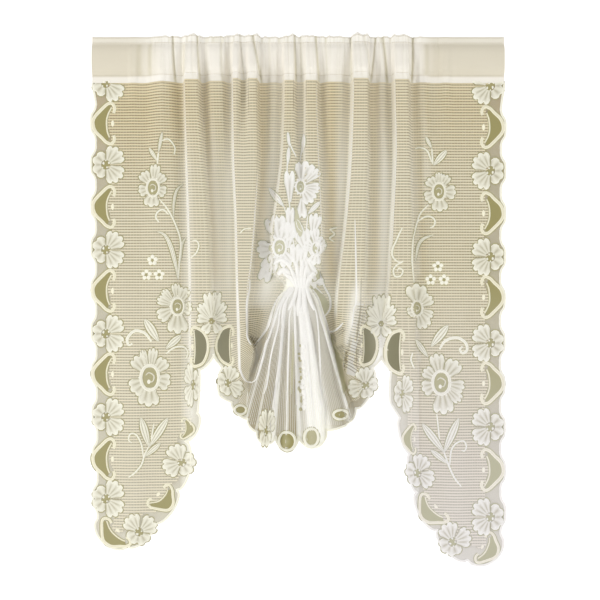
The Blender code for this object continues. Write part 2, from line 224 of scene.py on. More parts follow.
SHEET_SIDES = (-392.0, 388.0)
SHEET_FOOT = 974.0
ROW_STEP = 6.0           # between two rows of points of the sheet
TAIL_STEP = 7.5          # widest space between two columns of points in the tails, and elsewhere
MIDDLE_STEP = 3.6
FAN_COLUMNS = 64
WALL_POINTS = 5          # spaces across the side wall of a main fold
REFERENCE_DROP = 150.0   # the row on which the threads are counted out evenly
FINE_MESH = 1.4
FAN_TOP = 446.0          # the knot
FAN_LEFT = ((446, -24), (468, -37), (485, -46), (515, -54), (530, -62), (553, -78), (600, -88), (650, -93))
FAN_RIGHT = ((446, 19), (470, 33), (493, 41), (523, 50), (553, 57), (580, 64), (634, 77), (665, 87))
# Straight rays of the fan: share of the way across, and x at the drops 475 and 650.
RAYS = ((0.0, -38, -93), (0.27, -25, -46), (0.4, -18, -23), (0.5, -11, -5.5), (1.0, 30, 84))
BORDER_DEPTH = 27.0      # the plain fine net of the border, measured in from the edge
# Bars of the net are drawn up towards the fan: how far, and how soon that fades sideways.
DRAW_UP = ((478, 0), (545, 36), (590, 52), (660, 60))
DRAW_UP_REACH = 30.0


def leg(start, end):
    """Start, way and outward direction from one notch to the next."""
    start, end = np.array(start, float), np.array(end, float)
    way = end - start
    return start, way, np.array((-way[1], way[0])) / np.hypot(*way)


def scallop(start, end, bulge):
    """Points of one scallop after its first notch: half an ellipse that stands out to one side."""
    start, way, out = leg(start, end)
    turns = [np.pi * n / SCALLOP_STEPS for n in range(1, SCALLOP_STEPS + 1)]
    return [tuple(start + way * (1.0 - np.cos(a)) / 2.0 + out * bulge * np.sin(a)) for a in turns]


def wave(start, end, bulge):
    """Points of one repeat of a straight border after its first notch: a bulge between flat dips."""
    start, way, out = leg(start, end)
    points = []
    for t in np.arange(1, WAVE_STEPS + 1) / WAVE_STEPS:
        rise = eased(ramp(min(t, 1.0 - t), 0.12, 0.36))
        points.append(tuple(start + way * t + out * bulge * rise))
    return points


def side_notches(side):
    """Notches of a straight side border, from the top down."""
    edge = LEFT_EDGE if side == "left" else RIGHT_EDGE
    drops = [FIRST_NOTCH[side] + NOTCH_STEP[side] * n for n in range(NOTCHES)]
    return [(float(along(edge, drop)), drop) for drop in drops]


def lace_edge():
    """The cut edge as (x, drop) points: down the left border, along the hem and up the right border."""
    left, right = side_notches("left"), side_notches("right")
    points = [(left[0][0] - 6.0, HEADING_DROP), left[0]]
    for notch in left[1:]:
        points += wave(points[-1], notch, SIDE_BULGE)
    for row in HEM:
        points += scallop(points[-1], (row.x, row.drop), row.bulge)
    points += scallop(points[-1], right[-1], CORNER_BULGE)
    for notch in reversed(right[:-1]):
        points += wave(points[-1], notch, SIDE_BULGE)
    points.append((right[0][0] + 6.0, HEADING_DROP))
    return points


def main_walls(drop):
    """Start and end of each main fold's side walls, from left to right, parted where two of them meet."""
    walls = []
    for fold in FOLDS:
        if fold.name in MAIN_FOLDS:
            for track in (fold.left, fold.right):
                place = float(along(track, drop))
                walls.append([place - fold.wall / 2.0, place + fold.wall / 2.0])
    for here, there in zip(walls, walls[1:]):
        if here[1] > there[0] - 1.0:
            cut = (here[1] + there[0]) / 2.0
            here[1], there[0] = cut - 0.5, cut + 0.5
    return [place for wall in walls for place in wall]


def column_places(drop, spaces):
    """Where each column of points crosses a row: the given count of even spaces between two wall feet."""
    feet = [SHEET_SIDES[0]] + main_walls(drop) + [SHEET_SIDES[1]]
    places = [feet[0]]
    for start, end, count in zip(feet, feet[1:], spaces):
        places += [start + (end - start) * n / count for n in range(1, count + 1)]
    return np.array(places)


def spaces_between_feet():
    """How many columns fit between two wall feet: fine on walls and in the fan, wider in the tails."""
    feet = [SHEET_SIDES[0]] + main_walls(REFERENCE_DROP) + [SHEET_SIDES[1]]
    counts = []
    for n, (start, end) in enumerate(zip(feet, feet[1:])):
        step = TAIL_STEP if n in (0, len(feet) - 2) else MIDDLE_STEP
        counts.append(WALL_POINTS if n % 2 else int(np.ceil((end - start) / step)))
    counts[4 * MAIN_FOLDS.index("middle") + 2] = FAN_COLUMNS
    return counts


def drawn_up(x, drop):
    """How far the knitted bars are lifted at a place: at the seam by the folds, and beside the fan."""
    seam = SEAM_LIFT * depth(x, HEADING_DROP) * ramp(drop, 320.0, HEADING_DROP) ** 1.5
    away = np.maximum(along(FAN_LEFT, drop) - x, x - along(FAN_RIGHT, drop))
    fan = along(DRAW_UP, drop) * np.exp(-np.maximum(away, 0.0) / DRAW_UP_REACH)
    return seam + fan


row_drops = np.arange(HEADING_DROP - TUCKED_IN - 2.0, SHEET_FOOT, ROW_STEP)
spaces = spaces_between_feet()
column_x = np.array([column_places(drop, spaces) for drop in row_drops])
reference = column_places(REFERENCE_DROP, spaces)
reference_steps = np.hypot(np.diff(reference), np.diff(depth(reference, REFERENCE_DROP)))
column_u = np.concatenate(((0.0,), np.cumsum(reference_steps)))
column_u -= np.interp(0.0, reference, column_u)


def cloth_place(x, drop):
    """Place on the unfolded cloth: across, counted along its folds, and down, counted along its threads."""
    row = np.clip((drop - row_drops[0]) / ROW_STEP, 0, len(row_drops) - 1.001)
    low = row.astype(int)
    share = row - low
    across = []
    for px, n, s in zip(x, low, share):
        across.append(np.interp(px, column_x[n] * (1.0 - s) + column_x[n + 1] * s, column_u))
    return np.array(across), drop + drawn_up(x, drop)


def linked(name, data):
    """A new object of the scene with this mesh, lamp or camera."""
    thing = bpy.data.objects.new(name, data)
    bpy.context.scene.collection.objects.link(thing)
    return thing


def new_mesh(name, points, faces):
    """A mesh of (x, drop, forward) points in millimetres, smooth shaded."""
    places = np.array(points, float) * MM
    data = bpy.data.meshes.new(name)
    data.from_pydata([(x, -forward, -drop) for x, drop, forward in places], [], faces)
    data.shade_smooth()
    return linked(name, data)


def add_map(piece, name, across, down):
    """A UV map in metres from one pair of values for each point."""
    corners = np.empty(len(piece.data.loops), int)
    piece.data.loops.foreach_get("vertex_index", corners)
    layer = piece.data.uv_layers.new(name=name)
    layer.data.foreach_set("uv", np.column_stack((across, -down))[corners].ravel() * MM)


def add_values(piece, name, values):
    """A named value for each point."""
    attribute = piece.data.attributes.new(name, "FLOAT", "POINT")
    attribute.data.foreach_set("value", np.asarray(values, np.float32))


def edge_distance(x, drop, outline):
    """Distance of each place from the outline, and whether it lies inside."""
    ends = np.roll(outline, -1, axis=0)
    way = ends - outline
    squares = np.maximum((way * way).sum(1), 1e-9)
    nearest, crossings = np.full(len(x), 1e9), np.zeros(len(x), int)
    for start, end, step, square in zip(outline, ends, way, squares):
        share = np.clip(((x - start[0]) * step[0] + (drop - start[1]) * step[1]) / square, 0.0, 1.0)
        away = np.hypot(start[0] + step[0] * share - x, start[1] + step[1] * share - drop)
        nearest = np.minimum(nearest, away)
        if start[1] != end[1]:
            crosses = (start[1] > drop) != (end[1] > drop)
            crossings += crosses & (start[0] + step[0] * (drop - start[1]) / step[1] > x)
    return nearest, crossings % 2 == 1


def lace_net():
    """Points (x, drop) of the ground sheet, with its edge first, and the triangles between them."""
    edge = lace_edge()
    top = column_x[0][(column_x[0] > edge[0][0] + 2.0) & (column_x[0] < edge[-1][0] - 2.0)]
    edge += [(x, float(HEADING_DROP - SEAM_LIFT * depth(x, HEADING_DROP)) - TUCKED_IN) for x in top[::-1]]
    outline = np.array(edge)
    x, drop = column_x.ravel(), np.repeat(row_drops, column_x.shape[1])
    distance, within = edge_distance(x, drop, outline)
    keep = within & (distance > EDGE_ROOM)
    points = np.vstack((outline, np.column_stack((x, drop))[keep]))
    net = delaunay_2d_cdt([Vector(p) for p in points], [], [list(range(len(edge)))], 0, 1e-4, False)
    points, faces = np.array(net[0]), np.array(net[2])
    middle = points[faces].mean(axis=1)
    _, within = edge_distance(middle[:, 0], middle[:, 1], outline)
    return points, faces[within]


# Painted light and shade beside the folds: the middle of each streak as (drop, x), its half width, and the
# paleness it adds as (drop, share). Where that is less than nothing, the streak is painted shade in a hollow
# beside the fan.
PAINTED_STREAKS = (
    (((110, -165), (185, -158), (255, -156), (340, -149), (500, -148)), 8, ((83, 0.3), (500, 0.25))),
    (((110, -128), (460, -127)), 8, ((83, 0.2), (440, 0.22), (480, 0))),
    (((110, -43), (185, -45), (257, -52), (340, -63), (425, -60), (500, -68)), 12,
     ((83, 0.25), (250, 0.25), (340, 0.45), (430, 0.5), (480, 0.2))),
    (((83, 2), (300, 4)), 8, ((83, 0.3), (200, 0.35), (300, 0.1), (320, 0))),
    (((110, 48), (500, 50)), 8, ((83, 0.15), (500, 0.2))),
    (((110, 80), (185, 78), (257, 74), (340, 68), (425, 66)), 9,
     ((83, 0.3), (383, 0.35), (430, 0.1), (470, 0))),
    (((110, 144), (257, 152), (340, 152), (425, 148), (500, 145)), 11, ((83, 0.35), (500, 0.35), (540, 0.5))),
    (((83, 217), (257, 228)), 7, ((83, 0.25), (290, 0.25), (330, 0))),
    (((200, -200), (500, -197)), 8, ((83, 0), (250, 0.2), (530, 0.3))),
    (((460, 140), (530, 135)), 18, ((450, 0), (480, 0.4), (540, 0.4), (580, 0.2))),
    (((370, -55), (480, -50)), 22, ((360, 0), (390, 0.35), (470, 0.3), (500, 0))),
    (((480, 46), (520, 62), (560, 73), (600, 84), (650, 99)), 14,
     ((470, 0), (495, -1), (650, -0.9), (680, 0))),
    (((490, -76), (540, -82), (560, -78)), 12, ((480, 0), (500, -0.8), (560, -0.8), (575, 0))),
    (((440, 102), (488, 97), (530, 89), (567, 79), (600, 76)), 9,
     ((430, 0), (470, 0.7), (560, 0.7), (600, 0.1))),
)


def painted_streak_light(x, drop):
    """The painted light and shade that the streaks add at a place."""
    return sum(
        along(share, drop) * np.exp(-((x - along(track, drop)) / half) ** 2) for track, half, share in PAINTED_STREAKS
    )


def paleness_and_painted_light(x, drop):
    """How pale the lace looks at a place: stacked in layers, low on a tail or round the bouquet, with painted
    light on its steep walls, its forward parts and its recessed bays, and the painted light and shade of the
    streaks.
    """
    rise = depth(x + 0.5, drop) - depth(x - 0.5, drop)
    slope = np.abs(rise)
    # Painted highlight: steep walls are paler, most of all those that face left, towards the window lamp.
    steep = (0.2 * ramp(slope, 0.4, 1.9) + 0.7 * ramp(slope, 1.6, 3.4)) * np.where(rise > 0.0, 1.0, 0.3)
    # Painted light on the parts that stand forward.
    forward = 0.005 * depth(x, drop)
    low = np.where(x > 0.0, 0.4 * ramp(drop, 400.0, 950.0), 0.25 * ramp(drop, 250.0, 950.0))
    low = low * np.where((np.abs(x) < 150.0) & (drop < 680.0), 0.3, 1.0)
    layers = np.interp(fan_share(x, drop), *zip(*FAN_LAYERS))
    layers = np.maximum(layers, ramp(drop, 545.0, 455.0))
    # Painted light in the recessed bays between the middle folds, against the shade that falls there.
    bay = 0.21 * ramp(depth(x, drop), 8.0, 0.0) * (np.abs(x) < 215.0)
    flowers = 0.6 * np.exp(-((x + 4.0) / 40.0) ** 4 - ((drop - 388.0) / 52.0) ** 4)
    outside = steep + forward + low + bay + flowers + painted_streak_light(x, drop)
    return np.clip(np.where(in_fan(x, drop), layers, outside), 0.0, 1.0)


# Layers of lace that lie over each other in the fan, as a share of full white, from its left to its right.
FAN_LAYERS = (
    (0.0, 0.1), (0.03, 0.05), (0.045, 0.6), (0.06, 0.05), (0.14, 0.0), (0.155, 0.7), (0.17, 0.0),
    (0.26, 0.08), (0.28, 1.0), (0.31, 1.0), (0.325, 0.15), (0.395, 0.15), (0.41, 0.8), (0.425, 0.0),
    (0.49, 0.0), (0.505, 1.0), (0.525, 1.0), (0.535, 0.5), (0.58, 0.55), (0.60, 0.95), (0.76, 0.95),
    (0.81, 0.3), (0.88, 0.18), (0.96, 0.22), (0.975, 0.95), (1.0, 0.95),
)


def new_node(tree, kind, inputs=(), **settings):
    """A node with these settings. Each input is given as a value or as the socket that feeds it."""
    node = tree.nodes.new(kind)
    for name, setting in settings.items():
        setattr(node, name, setting)
    for name, value in dict(inputs).items():
        if isinstance(value, bpy.types.NodeSocket):
            tree.links.new(value, node.inputs[name])
        else:
            node.inputs[name].default_value = value
    return node


def compute(tree, operation, *values):
    """The result of one sum on these values."""
    return new_node(tree, "ShaderNodeMath", dict(enumerate(values)), operation=operation).outputs[0]


def blend(tree, share, color, other, way="MIX"):
    """A color with the other one mixed in, or multiplied in, by a share."""
    color, other = [c if isinstance(c, bpy.types.NodeSocket) else (*c, 1.0) for c in (color, other)]
    mix = new_node(
        tree, "ShaderNodeMix", {"Factor": share, "A": color, "B": other}, data_type="RGBA", blend_type=way)
    return mix.outputs["Result"]


def own_value(tree, name):
    """The cloth's own value of that name."""
    return new_node(tree, "ShaderNodeAttribute", attribute_name=name).outputs["Fac"]


def clouds(tree, scale, detail):
    """Soft uneven noise all over the object."""
    place = new_node(tree, "ShaderNodeTexCoord").outputs["Object"]
    noise = new_node(tree, "ShaderNodeTexNoise", {"Vector": place, "Scale": scale, "Detail": detail})
    return noise.outputs["Fac"]


def crossed_waves(tree, pitch):
    """Even waves both ways over the flat cloth, and how far down the flat cloth each place lies."""
    flat = new_node(tree, "ShaderNodeUVMap", uv_map="cloth").outputs["UV"]
    place = new_node(tree, "ShaderNodeSeparateXYZ", {"Vector": flat}).outputs
    turns = [compute(tree, "MULTIPLY", place[axis], 2.0 * np.pi / pitch) for axis in ("X", "Y")]
    return compute(tree, "MULTIPLY", *[compute(tree, "SINE", turn) for turn in turns]), place["Y"]


def new_cloth(name, roughness, shine):
    """A material, its node tree and its shader."""
    cloth = bpy.data.materials.new(name)
    cloth.use_nodes = True
    shader = cloth.node_tree.nodes["Principled BSDF"]
    shader.inputs["Roughness"].default_value = roughness
    shader.inputs["Specular IOR Level"].default_value = shine
    return cloth, cloth.node_tree, shader


def add_bump(tree, shader, height, strength, distance):
    """Makes the shader's surface uneven by a height."""
    bump = new_node(tree, "ShaderNodeBump", {"Height": height, "Strength": strength, "Distance": distance})
    tree.links.new(bump.outputs["Normal"], shader.inputs["Normal"])


def sheer(tree, shader, color, share, close=None):
    """Gives the cloth its color and lets that share of the light through it, so that both its faces glow
    alike. Where close is less than 1, the cloth has holes too."""
    tree.links.new(color, shader.inputs["Base Color"])
    through = new_node(tree, "ShaderNodeBsdfTranslucent", {"Color": color}).outputs["BSDF"]
    surface = new_node(tree, "ShaderNodeMixShader", {0: share, 1: shader.outputs["BSDF"], 2: through})
    if close:
        clear = new_node(tree, "ShaderNodeBsdfTransparent").outputs["BSDF"]
        surface = new_node(tree, "ShaderNodeMixShader", {0: close, 1: clear, 2: surface.outputs["Shader"]})
    tree.links.new(surface.outputs["Shader"], tree.nodes["Material Output"].inputs["Surface"])


# Painted warm shade beside the folds, where they shade the net: the middle of each band, its half width and
# its strength.
PAINTED_SHADE_BANDS = (
    (((83, -66), (300, -66), (420, -72)), 10, 0.7), (((83, 50), (300, 58), (440, 56)), 11, 1.0),
    (((83, 136), (450, 136)), 9, 0.6), (((83, 210), (450, 224)), 8, 0.5), (((83, -166), (450, -150)), 9, 0.5),
)


def tan_and_painted_shade(x, drop):
    """How tan the net looks: tanner near the top and most in its two upper corners, with painted shade beside
    the folds.
    """
    total = 0.9 * ramp(x, -150.0, -270.0) * ramp(drop, 290.0, 140.0)
    total = total + 0.7 * ramp(x, 215.0, 265.0) * ramp(drop, 250.0, 130.0)
    total = total + 0.5 * ramp(drop, 240.0, 120.0) * (np.abs(x) < 235.0)
    for track, half, strength in PAINTED_SHADE_BANDS:
        near = np.exp(-((x - along(track, drop)) / half) ** 2)
        total = total + strength * near * ramp(drop, 460.0, 420.0)
    return np.clip(total, 0.0, 1.0)


def low_right(tree):
    """1 low on the right tail, where the lace looks cooler, fading to 0 upwards and to the left."""
    place = new_node(tree, "ShaderNodeTexCoord").outputs["Object"]
    parts = new_node(tree, "ShaderNodeSeparateXYZ", {"Vector": place}).outputs
    shares = [
        new_node(tree, "ShaderNodeMapRange", {"Value": parts[axis], "From Min": start, "From Max": end})
        for axis, start, end in (("X", 0.08, 0.14), ("Z", -0.45, -0.75))
    ]
    return compute(tree, "MULTIPLY", *[share.outputs["Result"] for share in shares])


def warmed(tree, color, full):
    """The color made warmer and darker by the cloth's own warm value, which holds its tan and the painted
    shade beside the folds, where full is the strongest tint, and made a little cooler low on the right tail."""
    color = blend(tree, own_value(tree, "warm"), color, full, "MULTIPLY")
    return blend(tree, low_right(tree), color, (0.95, 0.945, 1.08), "MULTIPLY")


def ground_cloth():
    """Fine knitted net: a pale khaki ground with small holes, whiter where the lace is stacked and where
    light is painted on it, tanner near the top and in the painted shade beside the folds.
    """
    cloth, tree, shader = new_cloth("fine_net", 0.85, 0.2)
    white = own_value(tree, "white")
    color = blend(tree, white, (0.30, 0.25, 0.14), (0.97, 0.95, 0.90))
    color = blend(tree, clouds(tree, 9.0, 3.0), color, (0.93, 0.95, 0.86), "MULTIPLY")
    # Small holes, one for each mesh of the fine net. White lace has none.
    meshes, _ = crossed_waves(tree, FINE_MESH * MM)
    add_bump(tree, shader, meshes, 0.25, 0.0004)
    closed = new_node(tree, "ShaderNodeMapRange", {
        "Value": meshes, "From Min": 0.25, "From Max": 0.6, "To Min": 1.0, "To Max": 0.6,
    })
    close = compute(tree, "MAXIMUM", closed.outputs["Result"], white)
    sheer(tree, shader, warmed(tree, color, (0.90, 0.80, 0.64)), 0.2, close)
    return cloth


def barred(x, drop, edge_away, within):
    """1 where the ladder net shows: away from the plain border, and not in the fan."""
    bare = in_fan(x, drop) | ~within
    plain = BORDER_DEPTH * np.clip((np.abs(x) - 150.0) / 160.0, 0.45, 1.0)
    return np.where(bare, 0.0, np.clip((edge_away - plain) / 6.0 + 0.5, 0.0, 1.0))


net_points, net_faces = lace_net()
net_x, net_drop = net_points.T
net_places = np.column_stack((net_x, net_drop, depth(net_x, net_drop)))
ground = new_mesh("lace_ground", net_places, net_faces.tolist())
net_u, net_v = cloth_place(net_x, net_drop)
add_map(ground, "cloth", net_u, net_v)
edge_away, within = edge_distance(net_x, net_drop, np.array(lace_edge()))
border_strip = 1.0 - barred(net_x, net_drop, edge_away, within)
pale_strip = border_strip * np.where(in_fan(net_x, net_drop), 0.0, np.where(net_x > 0.0, 0.09, 0.15))
add_values(ground, "white", np.clip(paleness_and_painted_light(net_x, net_drop) + pale_strip, 0.0, 1.0))
add_values(ground, "warm", tan_and_painted_shade(net_x, net_drop))
ground.data.materials.append(ground_cloth())


# Bars and threads of the ladder net. The knitting machine lays thick bars across the ground and fine threads
# down it, at an even spacing on the flat cloth, so both bend with the folds and rise towards the fan.
DEEPEST = 960.0          # just under the lowest scallop
DRAWN_UP_ROOM = 90.0     # more cloth than that isn't drawn up anywhere
BAR_PITCH = 5.0
BAR_WIDTH = 2.8
THREAD_WIDTH = 0.45
BAR_HEIGHT = 0.45        # how far the bars stand off the ground, on both faces
THREAD_HEIGHT = 0.25


def fold_form():
    """The folds without the cut edge, as a grid that knows each place in the front view and on the flat
    cloth. Nothing of it shows: the pieces on the folds are laid on it, and it is removed at the end."""
    x, drop = column_x.ravel(), np.repeat(row_drops, column_x.shape[1])
    wide = column_x.shape[1]
    corners = np.arange(len(x)).reshape(column_x.shape)[:-1, :-1].ravel()
    faces = np.column_stack((corners, corners + wide, corners + wide + 1, corners + 1))
    form = new_mesh("fold_form", np.column_stack((x, drop, depth(x, drop))), faces.tolist())
    add_map(form, "cloth", np.tile(column_u, len(row_drops)), drop + drawn_up(x, drop))
    add_map(form, "front", x, drop)
    # The top of the lace isn't a cut edge, so the outline is closed far above it.
    edge_away, within = edge_distance(x, drop, np.array(lace_edge() + [(380.0, -400.0), (-380.0, -400.0)]))
    add_values(form, "barred", barred(x, drop, edge_away, within))
    add_values(form, "white", paleness_and_painted_light(x, drop))
    add_values(form, "warm", tan_and_painted_shade(x, drop))
    return form


def new_tree(name, sockets):
    """A node tree with these inputs, as (label, kind) pairs, and one geometry output: the tree, its inputs
    and its output node."""
    tree = bpy.data.node_groups.new(name, "GeometryNodeTree")
    for label, kind in sockets:
        tree.interface.new_socket(label, in_out="INPUT", socket_type="NodeSocket" + kind)
    tree.interface.new_socket("Geometry", in_out="OUTPUT", socket_type="NodeSocketGeometry")
    return tree, tree.nodes.new("NodeGroupInput").outputs, tree.nodes.new("NodeGroupOutput")


def geometry(tree, kind, inputs=(), **settings):
    """What a geometry node of this kind gives."""
    return new_node(tree, "GeometryNode" + kind, inputs, **settings).outputs[0]


def field(tree, name, kind="FLOAT_VECTOR"):
    """A named value of a mesh."""
    source = new_node(tree, "GeometryNodeInputNamedAttribute", {"Name": name}, data_type=kind)
    return source.outputs["Attribute"]


def sampler(tree, surface, flat_map):
    """A function that reads any value of a surface at the place that a flat drawing has on its flat map."""
    mesh = new_node(tree, "GeometryNodeObjectInfo", {"Object": surface}).outputs["Geometry"]
    place, flat = geometry(tree, "InputPosition"), field(tree, flat_map)

    def read(value, kind="FLOAT_VECTOR"):
        return new_node(tree, "GeometryNodeSampleUVSurface", {
            "Mesh": mesh, "Value": value, "Source UV Map": flat, "Sample UV": place,
        }, data_type=kind).outputs

    return read


def spot_facing_height(tree, surface, flat_map):
    """Where a flat drawing comes to lie on a surface, how the surface faces there, and the drawing's own
    height, as sockets. The spot also says whether it is valid."""
    read, place = sampler(tree, surface, flat_map), geometry(tree, "InputPosition")
    height = new_node(tree, "ShaderNodeSeparateXYZ", {"Vector": place}).outputs["Z"]
    return read(place), read(geometry(tree, "InputNormal"))["Value"], height


def moved(tree, shape, spot, facing, height):
    """The shape moved to its spots, and lifted by its height the way the surface faces."""
    lift = new_node(tree, "ShaderNodeVectorMath", {"Vector": facing, "Scale": height}, operation="SCALE")
    offset = lift.outputs["Vector"]
    return geometry(tree, "SetPosition", {"Geometry": shape, "Position": spot, "Offset": offset})


def copied_in_row(tree, shape, given):
    """Real copies of a shape: the given Count of them, from First on, one Step apart."""
    row = geometry(tree, "MeshLine", {
        "Count": given["Count"], "Start Location": given["First"], "Offset": given["Step"],
    })
    copies = geometry(tree, "InstanceOnPoints", {"Points": row, "Instance": shape})
    return geometry(tree, "RealizeInstances", {"Geometry": copies})


def laid_on_folds():
    """Node tree: lays a flat drawing on both faces of the folds. The drawing's X and Y are its place on the
    named map of the folds, and its Z is its height over the net."""
    tree, given, out = new_tree("laid_on_folds", (
        ("Drawing", "Geometry"), ("Folds", "Object"), ("Map", "String"), ("Yarn", "Material"),
    ))
    spot, facing, height = spot_facing_height(tree, given["Folds"], given["Map"])
    # All three are read before the drawing moves.
    keep = new_node(tree, "GeometryNodeCaptureAttribute", {"Geometry": given["Drawing"]})
    for label, kind, value in (("Spot", "VECTOR", spot["Value"]), ("Facing", "VECTOR", facing),
                               ("Height", "FLOAT", height)):
        keep.capture_items.new(kind, label)
        tree.links.new(value, keep.inputs[label])
    kept = keep.outputs
    off_folds = new_node(tree, "FunctionNodeBooleanMath", {0: spot["Is Valid"]}, operation="NOT").outputs[0]
    cut = geometry(tree, "DeleteGeometry", {"Geometry": kept["Geometry"], "Selection": off_folds})
    both = new_node(tree, "GeometryNodeJoinGeometry")
    for side in (1.0, -1.0):
        face = moved(tree, cut, kept["Spot"], kept["Facing"], compute(tree, "MULTIPLY", kept["Height"], side))
        if side < 0.0:
            face = geometry(tree, "FlipFaces", {"Mesh": face})
        tree.links.new(face, both.inputs["Geometry"])
    smooth = geometry(tree, "SetShadeSmooth", {"Geometry": both.outputs["Geometry"]})
    real = geometry(tree, "RealizeInstances", {"Geometry": smooth})
    painted = geometry(tree, "SetMaterial", {"Geometry": real, "Material": given["Yarn"]})
    tree.links.new(painted, out.inputs[0])
    return tree


def laid_strips(laying):
    """Node tree: even strips on the flat cloth, cut to where the ladder net shows and laid on the folds."""
    tree, given, out = new_tree("laid_strips", (
        ("Folds", "Object"), ("Yarn", "Material"), ("Strip Width", "Float"), ("Strip Length", "Float"),
        ("Points Across", "Int"), ("Points Along", "Int"), ("Count", "Int"), ("First", "Vector"),
        ("Step", "Vector"),
    ))
    strip = geometry(tree, "MeshGrid", {
        "Size X": given["Strip Width"], "Size Y": given["Strip Length"],
        "Vertices X": given["Points Across"], "Vertices Y": given["Points Along"],
    })
    strips = copied_in_row(tree, strip, given)
    read = sampler(tree, given["Folds"], "cloth")
    names = ("barred", "white", "warm")
    shown, white, warm = [read(field(tree, name, "FLOAT"), "FLOAT")["Value"] for name in names]
    strips = geometry(tree, "StoreNamedAttribute", {"Geometry": strips, "Name": "white", "Value": white})
    strips = geometry(tree, "StoreNamedAttribute", {"Geometry": strips, "Name": "warm", "Value": warm})
    bare = new_node(tree, "FunctionNodeCompare", {"A": shown, "B": 0.5}, operation="LESS_THAN")
    cut = geometry(tree, "DeleteGeometry", {"Geometry": strips, "Selection": bare.outputs["Result"]})
    laid = geometry(tree, "Group", node_tree=laying, inputs={
        "Drawing": cut, "Folds": given["Folds"], "Map": "cloth", "Yarn": given["Yarn"],
    })
    tree.links.new(laid, out.inputs[0])
    return tree


def grown(name, tree, inputs, start=None):
    """The plain mesh that a node tree makes with these inputs, from the start mesh or from nothing."""
    data = bpy.data.meshes.new(name + "_start") if start is None else start
    seed = linked(name + "_seed", data)
    grow = seed.modifiers.new("grow", "NODES")
    grow.node_group = tree
    for socket in tree.interface.items_tree:
        if socket.item_type == "SOCKET" and socket.in_out == "INPUT" and socket.name in inputs:
            grow[socket.identifier] = inputs[socket.name]
    finished = bpy.data.meshes.new_from_object(seed.evaluated_get(bpy.context.evaluated_depsgraph_get()))
    bpy.data.objects.remove(seed)
    finished.name = name
    return linked(name, finished)


def yarn(name, dark, light, grain):
    """Matt cream yarn with a fine uneven twist, whiter where the lace is stacked and where light is painted
    on it, tanner near the top and in the painted shade beside the folds.
    """
    cloth, tree, shader = new_cloth(name, 0.8, 0.25)
    twist = clouds(tree, grain, 4.0)
    add_bump(tree, shader, twist, 0.4, 0.0005)
    color = blend(tree, own_value(tree, "white"), dark, light)
    color = blend(tree, twist, color, (0.88, 0.87, 0.82), "MULTIPLY")
    sheer(tree, shader, warmed(tree, color, (0.95, 0.90, 0.77)), 0.15)
    return cloth


bar_yarn = yarn("bar_yarn", (0.76, 0.70, 0.53), (0.92, 0.90, 0.85), 700.0)
folds = fold_form()
lay_drawing = laid_on_folds()
lay_strips = laid_strips(lay_drawing)
flat_width = (column_u[-1] - column_u[0]) * MM
flat_middle = (column_u[-1] + column_u[0]) / 2.0 * MM
bars = grown("net_bars", lay_strips, {
    "Folds": folds, "Yarn": bar_yarn, "Strip Width": flat_width, "Strip Length": BAR_WIDTH * MM,
    "Points Across": 420, "Points Along": 2,
    "Count": int((DEEPEST + DRAWN_UP_ROOM - HEADING_DROP) / BAR_PITCH),
    "First": (flat_middle, -(HEADING_DROP - 4.0) * MM, BAR_HEIGHT * MM), "Step": (0.0, -BAR_PITCH * MM, 0.0),
})
threads = grown("net_threads", lay_strips, {
    "Folds": folds, "Yarn": bar_yarn, "Strip Width": THREAD_WIDTH * MM, "Strip Length": DEEPEST * MM,
    "Points Across": 2, "Points Along": 120, "Count": int(flat_width / (BAR_PITCH * MM)),
    "First": (column_u[0] * MM, -(HEADING_DROP + DEEPEST) / 2.0 * MM, THREAD_HEIGHT * MM),
    "Step": (BAR_PITCH * MM, 0.0, 0.0),
})
for piece in (bars, threads):
    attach(piece, "root")


# Scalloped border. It is knitted in one with the net: along every cut edge, flower heads take turns with
# half-round windows of fine net, each framed by a thick cord and closed inward by a thin bar with a bead.
# A unit faces its outward angle, 0 to the right, 90 down and 180 to the left, and is scaled both ways.
Unit = namedtuple("Unit", "x drop outward across along")


def side_units(left_drops, right_drops):
    """Units of the two straight side borders, at these drops."""
    units = [Unit(-346, drop, 180, 1, 1) for drop in left_drops]
    return units + [Unit(341, drop, 0, 1, 1) for drop in right_drops]


WINDOWS = side_units((154, 304, 455, 605, 758), (164, 319, 470, 625, 781)) + [
    Unit(-334, 893, 133, 0.9, 0.9), Unit(-249, 831, 48, 0.95, 0.72), Unit(-205, 706, 5, 0.62, 0.5),
    Unit(201, 722, 180, 0.6, 0.72), Unit(238, 850, 135, 0.92, 0.9), Unit(336, 922, 25, 0.85, 0.8),
]
# The four windows beside the arches are filled with darker net than the others.
ARCH_WINDOWS = (
    Unit(-184, 559, 0, 0.78, 0.95), Unit(-129, 554, 180, 0.78, 0.95), Unit(119, 557, 0, 0.8, 0.95),
    Unit(176, 565, 180, 0.85, 1.05),
)
FLOWERS = side_units((83, 230, 383, 534, 684, 831), (88, 241, 396, 551, 702, 864)) + [
    Unit(-288, 888, 100, 0.95, 0.9), Unit(-214, 765, 20, 1.0, 0.9), Unit(-192, 626, 0, 0.5, 1.15),
    Unit(-127, 622, 160, 0.75, 0.9), Unit(-59, 703, 95, 1.15, 0.42), Unit(186, 642, 180, 0.6, 1.0),
    Unit(117, 626, 35, 0.85, 0.9), Unit(214, 784, 160, 0.85, 0.95), Unit(276, 906, 115, 1.0, 0.9),
]
